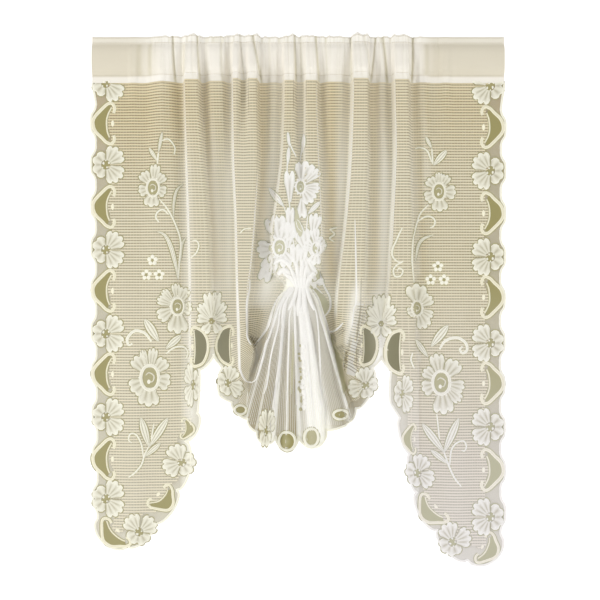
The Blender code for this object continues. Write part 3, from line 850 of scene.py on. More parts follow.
# Cords round a window and the bar that closes it, as outward and lengthwise distances from its middle.
WINDOW_CORD = (
    (-11.5, -17), (-13.5, -26), (-9, -34), (-1.4, -33.6), (10, -23.5), (22.7, -9.6), (25.7, 1.8),
    (21.4, 15.6), (10, 27), (1.2, 35.8), (-7.7, 38.4), (-13, 30.8), (-11.5, 23.2),
)
ARCH_CORD = (
    (-11.5, -17), (-13.5, -26), (-9, -34), (-1.4, -34.6), (13, -29), (22.5, -14), (25.7, 1.8), (23, 17.6),
    (14, 30), (1.2, 36.8), (-7.7, 38.4), (-13, 30.8), (-11.5, 23.2),
)
WINDOW_BAR = ((-7.7, -27), (-1.4, -14.6), (1.3, -2), (0, 15.6), (-4, 27))
ARCH_BAR = ((-6, -29), (-4.5, -14.6), (-4, -2), (-4.5, 15.6), (-6, 31))


HOLE_WIDTH = 3.2         # how much wider the open holes round a motif are than the motif
HOLE_HEIGHT = 0.55
HOLE_TONE = 0.12


# Windows of the fan's hem. The pleats turn them, so from the front they are ovals: x, drop, width, height.
OVAL_WINDOWS = ((-22, 724, 27, 30), (21, 717, 23, 29), (-106, 671, 19, 15), (73, 677, 24, 15))


class Drawing:
    """Raised yarn drawn flat: grids of points in the front view, each point with a height and a paleness."""

    def __init__(self, holes=None):
        """holes is the drawing that takes the row of open holes round each motif, if it has them."""
        self.points, self.pale, self.faces, self.count, self.holes = [], [], [], 0, holes

    def add(self, flat, height, pale, place=None):
        """One grid of (x, drop) points with their heights and paleness, moved to its place."""
        rows, columns = flat.shape[:2]
        x, drop = flat[..., 0], flat[..., 1]
        if place:
            x, drop = place(x, drop)
        shape = (rows, columns)
        self.points.append(np.stack((x, -drop, np.broadcast_to(height, shape)), axis=-1).reshape(-1, 3))
        self.pale.append(np.broadcast_to(pale, shape).ravel())
        corners = np.arange(rows * columns).reshape(shape)[:-1, :-1].ravel() + self.count
        self.faces.append(np.column_stack((corners, corners + 1, corners + columns + 1, corners + columns)))
        self.count += rows * columns

    def laid(self, name, yarn_cloth):
        """The drawing as one finished piece on the folds."""
        data = bpy.data.meshes.new(name + "_drawing")
        points = np.vstack(self.points)
        data.from_pydata((points * MM).tolist(), [], np.vstack(self.faces).tolist())
        # The yarn also takes part of the lace's paleness there, painted light included.
        lit = np.concatenate(self.pale) + 0.35 * paleness_and_painted_light(points[:, 0], -points[:, 1])
        pale = data.attributes.new("white", "FLOAT", "POINT")
        pale.data.foreach_set("value", np.clip(lit, 0.0, 1.0).astype(np.float32))
        piece = grown(name, lay_drawing, {"Folds": folds, "Map": "front", "Yarn": yarn_cloth}, data)
        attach(piece, "root")
        return piece


def smooth_path(path, spacing=2.4):
    """Close points of a smooth curve through the given ones, and the way to its side at each."""
    path = np.array(path, float)
    path = np.vstack((2.0 * path[0] - path[1], path, 2.0 * path[-1] - path[-2]))
    spans = []
    for before, start, end, after in zip(path, path[1:], path[2:], path[3:]):
        count = max(2, int(np.hypot(*(end - start)) / spacing))
        t = np.linspace(0.0, 1.0, count, endpoint=False)[:, None]
        bend = (2.0 * before - 5.0 * start + 4.0 * end - after) * t * t
        twist = (3.0 * start - before - 3.0 * end + after) * t ** 3
        spans.append(start + 0.5 * ((end - before) * t + bend + twist))
    places = np.vstack(spans + [path[-2:-1]])
    way = np.gradient(places, axis=0)
    way = way / np.maximum(np.hypot(*way.T), 1e-9)[:, None]
    return places, np.column_stack((-way[:, 1], way[:, 0]))


def ribbon(places, side, across, widths):
    """Rows of points across a path, at shares of its width there."""
    return places[:, None] + side[:, None] * (across[:, None] * widths[:, None, None])


def cord(drawing, path, width, height=0.9, pale=0.6, taper=0.5, place=None):
    """A rounded cord along a path, thinner at its two ends, with paler sides."""
    places, side = smooth_path(path)
    swell = 1.0 - (1.0 - taper) * np.abs(np.linspace(-1.0, 1.0, len(places))) ** 3
    across = np.array((-0.5, -0.34, 0.0, 0.34, 0.5))
    flat = ribbon(places, side, across, width * swell)
    rise = height * np.array((0.2, 0.85, 1.0, 0.85, 0.2)) * swell[:, None]
    drawing.add(flat, rise, pale * (0.82 + 0.7 * np.abs(across)), place)
    if drawing.holes:
        cord(drawing.holes, path, width + HOLE_WIDTH, HOLE_HEIGHT, HOLE_TONE, taper, place)


def blade(drawing, path, width, height=0.9, pale=0.6, place=None):
    """A pointed leaf from its tip to its foot, with a raised rim and midrib."""
    places, side = smooth_path(path)
    swell = 0.12 + 0.88 * np.sin(np.pi * np.linspace(0.0, 1.0, len(places)) ** 0.85) ** 0.8
    across = np.array((-0.5, -0.38, -0.2, 0.0, 0.2, 0.38, 0.5))
    rise = height * np.array((0.2, 1.0, 0.5, 0.9, 0.5, 1.0, 0.2))
    tone = pale * np.array((1.3, 1.3, 0.6, 1.2, 0.6, 1.3, 1.3))
    drawing.add(ribbon(places, side, across, width * swell), rise, tone, place)
    if drawing.holes:
        flat = ribbon(places, side, across, (width + HOLE_WIDTH) * swell)
        drawing.holes.add(flat, HOLE_HEIGHT, HOLE_TONE, place)


def petal(drawing, foot, tip, spread, start=0.1, lobes=3, height=1.1, pale=0.9, place=None):
    """A petal that spreads from its foot to a lobed edge, with sunk rays between its lobes. It begins at a
    share of the way to its tip."""
    foot, tip = np.array(foot, float), np.array(tip, float)
    way = tip - foot
    span = np.linspace(-1.0, 1.0, 4 * lobes + 1)
    turn = np.arctan2(way[1], way[0]) + np.radians(spread) / 2.0 * span
    lobe = np.abs(np.sin((span + 1.0) / 2.0 * lobes * np.pi))
    edge = (1.0 - 0.26 * np.abs(span) ** 3) * (0.82 + 0.18 * np.sqrt(lobe))
    out = start + (1.0 - start) * np.array((0.0, 0.25, 0.52, 0.76, 0.92, 1.0))[:, None]
    reach = np.hypot(*way) * (start + (out - start) * edge)
    flat = foot + np.stack((np.cos(turn) * reach, np.sin(turn) * reach), axis=-1)
    ray = np.sqrt(0.5 - 0.5 * np.cos((span + 1.0) * lobes * np.pi))
    sunk = np.array((0.5, 1.0, 1.0, 0.7, 0.1, 0.0))[:, None] * (1.0 - ray)
    rise = height * np.array((0.75, 0.9, 0.95, 1.0, 1.0, 0.3))[:, None] * (1.0 - 0.3 * sunk)
    tone = np.array((0.8, 0.8, 0.84, 0.92, 1.05, 1.1))[:, None]
    drawing.add(flat, rise, pale * tone * (1.0 - 0.75 * sunk), place)
    if drawing.holes:
        reach = reach * (1.0 + HOLE_WIDTH / 2.0 / np.hypot(*way))
        turn = turn + span * HOLE_WIDTH / 2.0 / np.hypot(*way)
        flat = foot + np.stack((np.cos(turn) * reach, np.sin(turn) * reach), axis=-1)
        drawing.holes.add(flat, HOLE_HEIGHT, HOLE_TONE, place)


def bead(drawing, x, drop, wide, tall, height=1.2, pale=0.95, place=None):
    """A small oval knot."""
    turn = np.linspace(0.0, 2.0 * np.pi, 11)
    out = np.array((0.02, 0.6, 1.0))[:, None]
    flat = np.stack((x + out * wide / 2.0 * np.cos(turn), drop + out * tall / 2.0 * np.sin(turn)), axis=-1)
    drawing.add(flat, height * np.array((1.0, 0.8, 0.15))[:, None], pale, place)


def turned(unit):
    """How a border unit's own outward and lengthwise distances lie in the front view."""
    cos, sin = np.cos(np.radians(unit.outward)), np.sin(np.radians(unit.outward))

    def place(out, length):
        out, length = out * unit.across, length * unit.along
        return unit.x + cos * out + sin * length, unit.drop + sin * out - cos * length

    return place


def between(drawing, one, other, height, pale, place=None):
    """A patch that fills the space between two paths."""
    share = np.linspace(0.0, 1.0, 13)
    sides = []
    for path in (one, other):
        side = smooth_path(path)[0]
        reach = np.linspace(0.0, 1.0, len(side))
        sides.append(np.column_stack([np.interp(share, reach, side[:, n]) for n in (0, 1)])[:, None])
    across = np.linspace(0.0, 1.0, 4)[None, :, None]
    drawing.add(sides[0] * (1.0 - across) + sides[1] * across, height, pale, place)


def window(drawing, nets, unit, frame, bar):
    """One half-round window: framing cord, inner bar with its bead, and the fine net that fills it."""
    place = turned(unit)
    cord(drawing, frame, 6.8, 1.2, 0.86, 0.8, place)
    cord(drawing, bar, 3.2, 1.0, 0.86, 0.9, place)
    bead(drawing, -9.7, 1.8, 6.0, 11.5, 1.3, 1.0, place)
    between(nets, frame[3:10], bar, 0.65, 0.0, place)


def oval_window(drawing, nets, x, drop, wide, tall):
    """A window seen from straight below: an oval of fine net in a thick cord."""
    turn = np.linspace(0.0, 2.0 * np.pi, 15)
    ring = np.column_stack((x + wide * 0.54 * np.cos(turn), drop + tall * 0.54 * np.sin(turn)))
    bead(nets, x, drop, wide, tall, 1.7, 0.0)
    cord(drawing, ring, 4.6, 2.0, 0.9, 1.0)


def border_flower(drawing, nets, unit):
    """One flower of the border: two big lobed petals inward, two small ones outward, and beads between."""
    place = turned(unit)
    for side in (-1.0, 1.0):
        angle = np.radians(48.0)
        tip = (2.0 - 38.0 * np.cos(angle), side * 38.0 * np.sin(angle))
        petal(drawing, (2.0, 0.0), tip, 84.0, 0.22, 4, 1.2, 0.92, place)
        angle = np.radians(42.0)
        tip = (2.0 + 27.0 * np.cos(angle), side * 27.0 * np.sin(angle))
        petal(drawing, (2.0, 0.0), tip, 86.0, 0.33, 2, 1.1, 0.92, place)
    for out, length, wide, tall in ((0.5, -2.5, 15.0, 13.0), (4.5, 3.0, 13.0, 13.0)):
        bead(nets, out, length, wide, tall, 1.15, 0.05, place)
    for out, length, wide, tall in (
        (-3.0, -3.5, 4.4, 5.6), (0.5, 4.5, 3.4, 4.2), (6.5, -2.5, 4.2, 6.2), (8.0, 5.0, 3.0, 3.6),
        (2.5, -7.5, 2.6, 3.0),
    ):
        bead(drawing, out, length, wide, tall, 1.9, 1.0, place)


# The flower over each arch stands upright: its eye, and each petal's tip from there, spread and lobes.
ARCH_FLOWERS = ((-157, 511), (147, 516))
ARCH_PETALS = (
    ((-15, 21), 56, 2), ((14, 21), 56, 2), ((-27, -6), 50, 2), ((27, -8), 50, 2), ((-23, -31), 40, 3),
    ((22, -34), 38, 3), ((-9, -52), 26, 2), ((10, -54), 26, 2),
)


def arch_flower(drawing, nets, x, drop):
    """A tall flower: long narrow petals upwards, short ones beside and below the round eye."""
    for (across, down), spread, lobes in ARCH_PETALS:
        start = 6.5 / np.hypot(across, down)
        petal(drawing, (x, drop), (x + across, drop + down), spread, start, lobes, 1.2, 0.95)
    bead(nets, x, drop, 11.0, 11.0, 1.25, 0.0)
    bead(drawing, x - 1.0, drop + 1.5, 3.0, 3.0, 1.9, 0.7)


def window_net(name, dark, right=None):
    """Fine net of the windows: darker than the ground, since nothing lies behind it. Its color low on the
    right tail may be another one."""
    net, tree, shader = new_cloth(name, 0.9, 0.1)
    color = blend(tree, own_value(tree, "white"), dark, (0.72, 0.70, 0.56))
    tree.links.new(blend(tree, low_right(tree), color, right or dark), shader.inputs["Base Color"])
    return net


motif_yarn = yarn("motif_yarn", (0.42, 0.38, 0.24), (0.96, 0.945, 0.84), 500.0)
dark_net = window_net("window_net", (0.285, 0.255, 0.112), (0.42, 0.405, 0.30))
border_nets, arch_nets = Drawing(), Drawing()
border, frames = Drawing(holes=border_nets), Drawing(holes=border_nets)
for unit in WINDOWS:
    window(frames, border_nets, unit, WINDOW_CORD, WINDOW_BAR)
for unit in ARCH_WINDOWS:
    window(frames, arch_nets, unit, ARCH_CORD, ARCH_BAR)
for unit in FLOWERS:
    border_flower(border, border_nets, unit)
for x, drop in ARCH_FLOWERS:
    arch_flower(border, border_nets, x, drop)
for oval in OVAL_WINDOWS:
    oval_window(border, border_nets, *oval)
border.holes = None
cord(border, lace_edge(), 4.2, 0.9, 1.0, 1.0)
border_piece = border.laid("border_motifs", motif_yarn)
frame_piece = frames.laid("window_frames", yarn("frame_yarn", (0.44, 0.38, 0.22), (0.97, 0.935, 0.76), 500.0))
border_net_piece = border_nets.laid("border_windows", dark_net)
arch_net_piece = arch_nets.laid("arch_windows", window_net("arch_net", (0.186, 0.174, 0.106)))


# Flower sprays of the two tails. Each is knitted in one with the net: a stem with roses, pointed leaves,
# curls and a group of small flowers, climbing from a sprig near the hem to a bud.
Rose = namedtuple("Rose", "x drop ring tips")
SPRAY_CORDS = (
    (3, ((-107, 355), (-98, 347), (-86, 346))), (3.8, ((54, 346), (68, 343))),
    (3.8, ((54, 346), (63, 355), (54, 362), (63, 369))),
    (3.6, ((-253, 209), (-255, 229))), (3.2, ((-248, 188), (-235, 185), (-224, 199), (-225, 212))),
    (3.8, ((-252, 292), (-237, 310), (-224, 335), (-214, 367), (-216, 405), (-218, 436))),
    (3.8, ((-235, 320), (-245, 311), (-255, 316), (-258, 325), (-252, 334))),
    (3.6, ((-194, 398), (-184, 388), (-180, 375), (-185, 367), (-192, 368))),
    (6.4, ((-266, 548), (-278, 533), (-296, 529), (-309, 542), (-307, 554), (-300, 552))),
    (4, ((-240, 570), (-225, 559), (-208, 558), (-200, 569), (-205, 579))),
    (3.4, ((-262, 696), (-267, 725))),
    (3.8, ((-281, 755), (-284, 734), (-293, 716), (-304, 714), (-307, 725), (-301, 730))),
    (4, ((-271, 737), (-279, 753), (-284, 769), (-296, 784), (-307, 792))),
    (3.6, ((238, 201), (240, 229))), (3.6, ((238, 226), (230, 206), (217, 199), (208, 201))),
    (4, ((232, 302), (218, 317), (212, 332), (204, 365), (202, 405), (206, 445))),
    (3.8, ((213, 332), (225, 324), (238, 324), (244, 332), (241, 341), (235, 343))),
    (3.8, ((184, 344), (177, 358), (172, 370), (167, 381), (167, 396), (178, 406), (186, 404))),
    (3.8, ((186, 404), (174, 411), (168, 420), (171, 431), (181, 430), (185, 421), (178, 416), (175, 422))),
    (6.4, ((252, 562), (262, 547), (282, 541), (298, 550), (301, 563), (293, 569), (288, 562), (293, 557))),
    (3.8, ((203, 568), (200, 581), (206, 596))), (3.4, ((247, 678), (252, 724))),
    (4.2, ((260, 747), (268, 770), (278, 792), (291, 809))),
    (3.8, ((270, 770), (273, 743), (283, 730), (295, 727), (300, 737), (296, 745), (291, 743))),
)
SPRAY_BLADES = (
    (6, ((-246, 172), (-253, 209))), (7, ((-270, 200), (-255, 224))),
    (8, ((-255, 350), (-241, 358), (-230, 381), (-221, 418), (-219, 436))),
    (5, ((-209, 264), (-221, 277), (-226, 302), (-226, 328))), (5, ((-204, 360), (-212, 375), (-214, 405))),
    (16, ((-278, 508), (-253, 548))), (13, ((-213, 537), (-240, 561))), (14, ((-285, 685), (-271, 737))),
    (14, ((-237, 686), (-270, 737))), (10, ((-250, 731), (-278, 755))), (7, ((227, 180), (238, 201))),
    (12, ((265, 204), (241, 231))), (6, ((241, 356), (222, 364), (213, 378), (208, 406))),
    (10, ((208, 544), (231, 576))), (15, ((267, 519), (237, 557))), (14, ((221, 696), (260, 747))),
    (14, ((286, 686), (260, 747))), (10, ((236, 743), (267, 768))),
)
SPRAY_ROSES = (
    Rose(-263, 272, 12.6, ((-258, 229), (-284, 243), (-290, 278), (-267, 307), (-239, 281), (-242, 248))),
    Rose(-219, 485, 12.6,
         ((-256, 471), (-255, 506), (-219, 535), (-192, 490), (-203, 451), (-223, 443), (-246, 455))),
    Rose(-269, 613, 18.0,
         ((-262, 559), (-239, 580), (-232, 623), (-272, 666), (-303, 637), (-296, 574), (-283, 562))),
    Rose(251, 278, 12.6, ((231, 254), (251, 243), (267, 248), (282, 280), (253, 315), (226, 293))),
    Rose(211, 488, 10.8, ((239, 467), (240, 504), (228, 525), (194, 498), (209, 443))),
    Rose(255, 622, 17.1,
         ((245, 569), (284, 582), (297, 631), (290, 656), (260, 680), (220, 635), (223, 598))),
)
SMALL_FLOWERS = ((-264, 402), (-275, 428), (-252, 428), (249, 413), (236, 437), (260, 437))


def rose(drawing, nets, row, pale=1.0, widest=72.0, tall=1.25):
    """A full flower: a dark eye with a little curl in it, a beaded ring round the eye, and the petals."""
    centre = np.array((row.x, row.drop), float)
    tips = [np.array(tip, float) for tip in row.tips]
    tips.sort(key=lambda tip: np.arctan2(*(tip - centre)[::-1]))
    turns = np.array([np.arctan2(*(tip - centre)[::-1]) for tip in tips])
    for n, tip in enumerate(tips):
        gaps = (turns[n] - turns[n - 1], turns[(n + 1) % len(turns)] - turns[n])
        spread = min(0.86 * np.degrees(np.mean(np.mod(gaps, 2.0 * np.pi))), widest)
        petal(drawing, centre, tip, spread, row.ring / np.hypot(*(tip - centre)), 3, 1.2, pale)
    circle = [(0.9 * np.cos(a), tall * np.sin(a)) for a in np.linspace(0.0, 2.0 * np.pi, 13)]
    bead(nets, row.x, row.drop, 1.8 * row.ring, 2.0 * tall * row.ring, 1.25, 0.15)
    cord(drawing, [tuple(centre + row.ring * np.array(c)) for c in circle], 0.34 * row.ring, 1.9, 0.9, 1.0)
    for x, y in circle[1:]:
        bead(drawing, row.x + 1.22 * row.ring * x, row.drop + 1.22 * row.ring * y, 3.0, 3.0, 1.8, 1.0)
    curl = [(-0.45, -0.2), (-0.1, -0.5), (0.4, -0.2), (0.3, 0.35), (-0.1, 0.45)]
    cord(drawing, [tuple(centre + row.ring * np.array(c)) for c in curl], 0.16 * row.ring, 2.0, 0.7, 0.5)
    x, drop = row.x - 0.1 * row.ring, row.drop + 0.4 * row.ring
    bead(drawing, x, drop, 0.45 * row.ring, 0.6 * row.ring, 2.1, 0.95)


def small_flower(drawing, nets, x, drop):
    """A tiny flower of five round petals round a hole."""
    for n in range(5):
        angle = 2.0 * np.pi * n / 5.0 - np.pi / 2.0
        bead(drawing, x + 6.2 * np.cos(angle), drop + 6.2 * np.sin(angle), 8.4, 8.4, 1.1, 1.0)
    bead(nets, x, drop, 4.8, 4.8, 1.3, 0.1)
    bead(nets, x, drop, 24.0, 24.0, 0.5, 0.1)


spray_nets = Drawing()
sprays = Drawing(holes=spray_nets)
for width, path in SPRAY_CORDS:
    cord(sprays, path, width, 1.0, 1.0, 0.6)
for width, path in SPRAY_BLADES:
    blade(sprays, path, width, 1.0, 0.9)
for row in SPRAY_ROSES:
    rose(sprays, spray_nets, row, 0.84)
for x, drop in SMALL_FLOWERS:
    small_flower(sprays, spray_nets, x, drop)
spray_piece = sprays.laid("flower_sprays", motif_yarn)
spray_net_piece = spray_nets.laid("flower_eyes", dark_net)


# Bouquet of the middle. It is knitted in one with the net too, and stands on the middle fold, where the
# stitched gather below draws its lowest flowers together into a white knot.
BOUQUET_CORDS = (
    (4.6, ((34, 428), (40, 437), (46, 452), (54, 467), (56, 482), (53, 493), (45, 503))),
    (3.2, ((16, 442), (19, 445), (33, 454), (42, 463))),
    (3.0, ((-28, 306), (-19, 333), (-12, 365), (-4, 405))),
    (2.6, ((-19, 200), (-22, 236), (-21, 275), (-17, 311), (-12, 365))),
    (2.6, ((-6, 332), (1, 315), (4, 301))),
    (3.0, ((15, 320), (12, 351), (8, 383), (4, 419))), (2.6, ((-21, 173), (-17, 194), (-6, 218))),
    (2.6, ((8, 176), (4, 203), (1, 225))),
)
BOUQUET_BLADES = (
    (6, ((-21, 173), (-18, 200))), (8, ((8, 176), (6, 209))), (7, ((-19, 200), (-21, 232))),
    (11, ((-55, 272), (-28, 307))), (9, ((37, 298), (15, 320))), (9, ((-6, 332), (8, 353))),
    (14, ((37, 448), (8, 391))), (12, ((22, 452), (4, 405))), (9, ((33, 405), (12, 376))),
)
BOUQUET_ROSES = (
    Rose(2, 271, 9.5, ((35, 238), (38, 274), (12, 224), (24, 300))),
    Rose(-35, 380, 12.6, ((-46, 320), (-15, 341), (-78, 383), (-61, 424), (-16, 414))),
    Rose(30, 382, 9.0, ((26, 344), (7, 370), (25, 412), (40, 360))),
)
# Loose petals of the bouquet: foot, tip, spread and number of lobes.
BOUQUET_PETALS = (
    ((-45, 388), (-67, 441), 36, 2), ((4, 388), (36, 452), 32, 2), ((-17, 312), (-18, 240), 22, 2),
    ((4, 284), (4, 330), 34, 2), ((-22, 392), (-14, 330), 30, 2), ((14, 396), (2, 344), 44, 3),
    ((22, 366), (30, 318), 38, 3), ((-18, 372), (-16, 306), 20, 2), ((30, 400), (41, 366), 50, 2),
    ((-6, 424), (-8, 372), 32, 2), ((2, 424), (8, 378), 30, 2),
)
bouquet_nets = Drawing()
bouquet = Drawing(holes=bouquet_nets)
for width, path in BOUQUET_CORDS:
    cord(bouquet, path, width, 1.0, 0.95, 0.5)
for width, path in BOUQUET_BLADES:
    blade(bouquet, path, width, 1.1, 0.95)
for row in BOUQUET_ROSES:
    rose(bouquet, bouquet_nets, row, 1.0, 60.0, 1.3)
for foot, tip, spread, lobes in BOUQUET_PETALS:
    petal(bouquet, foot, tip, spread, 0.18, lobes, 1.3, 1.05)
# A darker gap between the flowers holds three thin leaves.
GAP_LEFT = ((-7, 305), (-9, 330), (-6, 350), (0, 361))
GAP_RIGHT = ((-6, 305), (1, 331), (6, 350), (3, 361))
GAP_LEAVES = (
    ((-7, 328), (1, 336), (7, 352)), ((-7, 330), (-3, 345), (6, 354)), ((-2, 352), (-5, 362), (-4, 368)),
)
between(bouquet_nets, GAP_LEFT, GAP_RIGHT, 1.7, 0.25)
for path in GAP_LEAVES:
    cord(bouquet, path, 1.8, 2.3, 1.0, 0.6)
# The cloth opens into a small hollow loop beside the knot, on its right; its inside is a dark patch of
# painted shade.
LOOP_OUTSIDE = ((34, 458), (43, 464), (50, 474), (52, 484), (46, 500))
LOOP_INSIDE = ((24, 452), (32, 466), (37, 478), (41, 490), (45, 502))
between(bouquet_nets, LOOP_OUTSIDE, LOOP_INSIDE, 0.8, 0.22)
white_yarn = yarn("white_yarn", (0.48, 0.45, 0.36), (0.97, 0.96, 0.945), 500.0)
bouquet_piece = bouquet.laid("bouquet", white_yarn)
bouquet_net_piece = bouquet_nets.laid("bouquet_eyes", window_net("bouquet_net", (0.40, 0.39, 0.255)))


# Fan of fine pleats under the knot. Its lace is gathered so closely that only threads show: they spread from
# the knot to the hem, with a few thick bright folds where several layers lie on each other.
FAN_THREADS = 58
FAN_FOOT = 745.0         # under the fan's lowest scallop
HEM_TOP = 560.0          # above this drop no thread of the fan meets the hem
FOLDED_TOP = 556.0
FOLDED_FOOT = 672.0
BRIGHT_FOLDS = (
    (4.5, ((-26, 458), (-37, 468), (-46, 485), (-54, 515), (-62, 530), (-79, 553))),
    (5.5, ((-112, 430), (-110, 520), (-108, 580), (-106, 600), (-97, 618), (-86, 622))),
    (3.5, ((-89, 437), (-90, 455), (-94, 478), (-94, 520), (-93, 540), (-86, 553), (-79, 553))),
    (3.5, ((-16, 452), (-34, 480), (-42, 502), (-47, 520), (-53, 538), (-59, 552), (-66, 581), (-76, 612),
           (-86, 622))),
    (3, ((-14, 454), (-32, 482), (-37, 516), (-42, 538), (-47, 557), (-52, 581), (-57, 620), (-63, 640))),
    (5, ((-10, 454), (-27, 483), (-30, 520), (-32, 548), (-35, 581), (-42, 625), (-48, 665))),
    (2.5, ((-8, 470), (-17, 500), (-18, 529), (-20, 581), (-23, 676))),
    (3.5, ((-3, 470), (-8, 500), (-7, 529), (-6, 581), (-5, 660))), (3, ((12, 545), (17, 600), (22, 660))),
    (3, ((14, 462), (30, 499), (36, 574), (39, 675))),
    (5, ((16, 442), (24, 454), (34, 471), (41, 493), (50, 523), (57, 553), (64, 580), (75, 630))),
    (3.5, ((48, 529), (60, 530), (70, 523), (78, 514))),
    (3.0, ((99, 330), (101, 419), (101, 474), (97, 488), (95, 507), (93, 522))),
)
# Short dark slits of the net on both sides of the fan, each from end to end.
DRAWN_SLITS = (
    ((65, 535), (79, 523)), ((68, 539), (83, 525)), ((63, 531), (76, 520)), ((53, 536), (63, 553)),
    ((56, 534), (66, 549)), ((60, 534), (68, 545)), ((66, 556), (75, 567)), ((69, 554), (78, 565)),
    ((73, 552), (80, 562)), ((-93, 548), (-86, 537)), ((-90, 552), (-82, 538)), ((-87, 554), (-78, 539)),
    ((-84, 556), (-75, 541)), ((-81, 557), (-74, 547)),
)
# Both sides of the stretched net between the fan and the right arch, and where its slits begin and end.
STRETCH_LEFT = ((102, 478), (98, 500), (90, 532), (80, 567), (78, 604))
STRETCH_RIGHT = ((120, 478), (118, 500), (114, 532), (108, 567), (99, 610))
STRETCH_TOP = 484.0
STRETCH_FOOT = 596.0
# Both sides of a patch of painted shade on the net close to the fan's right side.
SHADE_LEFT = ((53, 534), (60, 560), (68, 600), (79, 642))
SHADE_RIGHT = ((64, 537), (74, 565), (83, 594), (84, 636))


def fan_threads(drawing):
    """Threads along the fan's straight rays, each down to the cut edge, finer where the lace lies single."""
    drops = np.arange(FAN_TOP + 4.0, FAN_FOOT, 7.0)
    edge = np.array(lace_edge())
    shares, places = [row[0] for row in RAYS], np.array(ray_places(drops))
    for share in (np.arange(FAN_THREADS) + 0.5) / FAN_THREADS:
        x = np.array([np.interp(share, shares, row) for row in places.T])
        away, within = edge_distance(x, drops, edge)
        last = np.argmax(~within | (away < 3.0) & (drops > HEM_TOP)) or len(drops)
        if last > 4:
            pale = np.interp(share, *zip(*FAN_LAYERS))
            fine = pale < 0.5 and share < 0.55
            width, pale = (0.75, 0.65) if fine else (2.0, 0.85 * pale)
            cord(drawing, np.column_stack((x, drops))[:last], width, 0.5, pale, 0.7)


# A border flower lies folded into the fan, edge on: an uneven column of petals with holes between them.
fan, fan_holes = Drawing(), Drawing()
fan_threads(fan)
chance = np.random.default_rng(5)
for drop in np.arange(FOLDED_TOP, FOLDED_FOOT, 9.0):
    x = 2.0 + (drop - FOLDED_TOP) * 0.03 + chance.uniform(-3.0, 3.0)
    bead(fan, x + 3.5, drop, chance.uniform(5.0, 8.0), chance.uniform(8.0, 13.0), 1.9, 0.9)
    hole_drop = drop + chance.uniform(-4.0, 4.0)
    bead(fan_holes, x - 2.5, hole_drop, chance.uniform(3.5, 6.5), chance.uniform(4.0, 9.0), 1.6, 0.15)
cord(fan_holes, ((-12, 530), (-11, 560), (-13, 600), (-14, 640)), 4.5, 0.45, 0.3)
# Beside the fan the net is drawn so far round that its gaps stand on end: short dark slits on both sides.
# A dark patch of painted shade on the net close to the fan's right side.
between(fan_holes, SHADE_LEFT, SHADE_RIGHT, 0.5, 0.3)
slits = Drawing()
for slit in DRAWN_SLITS:
    cord(slits, slit, 1.8, 0.9, 0.0, 0.6)
between(fan, STRETCH_LEFT, STRETCH_RIGHT, 0.55, 0.45)
for drop in np.arange(STRETCH_TOP, STRETCH_FOOT, 5.1):
    left, right = [along([point[::-1] for point in side], drop) for side in (STRETCH_LEFT, STRETCH_RIGHT)]
    sink = np.interp(drop, (STRETCH_TOP, 545.0, STRETCH_FOOT), (3, 10, 14))
    path = ((left, drop), ((left + right) / 2.0, drop + 0.4 * sink), (right, drop + sink))
    cord(slits, path, 1.9, 0.85, 0.0, 0.8)
for width, path in BRIGHT_FOLDS:
    cord(fan, path, width, 1.3, 0.95, 0.4)
# Where these folds turn, the net is seen edge on, as a thin pale line: fold, side, width, paleness and drops.
for name, side, width, pale, top, foot in (
    ("left swag", "left", 2.4, 0.95, 86, 600), ("left swag", "right", 2.0, 0.85, 250, 520),
    ("left outer", "left", 2.0, 0.85, 86, 620), ("right swag", "left", 1.8, 0.8, 86, 330),
    ("right outer", "left", 1.8, 0.8, 86, 440), ("middle", "right", 1.8, 0.7, 86, 420),
):
    fold = next(fold for fold in FOLDS if fold.name == name)
    drops = np.arange(top, foot, 12.0)
    inward = (0.5 * fold.wall - 1.0) * (1.0 if side == "left" else -1.0)
    line = np.column_stack((along(getattr(fold, side), drops) + inward, drops))
    cord(fan, line, width, 0.35, pale, 0.4)
fan_piece = fan.laid("fan_threads", white_yarn)
fan_hole_and_shade_piece = fan_holes.laid("fan_holes", dark_net)
slit_piece = slits.laid("net_slits", window_net("slit_net", (0.29, 0.265, 0.20)))


# Knot. A hidden stitch draws the lace together here; all that shows is a short bunch of its plump folds.
KNOT_FOLDS = (
    ((-17, 414), (-8, 436), (-2, 458)), ((-6, 404), (-3, 430), (2, 462)), ((6, 402), (3, 430), (5, 462)),
    ((14, 408), (9, 432), (9, 460)), ((-30, 424), (-14, 436), (-6, 452)), ((26, 424), (16, 438), (12, 456)),
    ((-3, 440), (-8, 466), (-20, 492)), ((2, 440), (0, 470), (-4, 502)), ((6, 440), (8, 470), (10, 500)),
    ((10, 442), (16, 466), (26, 492)), ((-46, 410), (-34, 402), (-22, 408), (-14, 420)),
    ((-40, 430), (-28, 420), (-16, 428)),
)
knot = Drawing()
for n, path in enumerate(KNOT_FOLDS):
    cord(knot, path, 7.0 + n % 3, 3.0, 0.9, 0.35)
knot_piece = knot.laid("gathered_knot", white_yarn)

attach(ground, "root")
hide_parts("lace_panel")
bpy.data.objects.remove(folds)


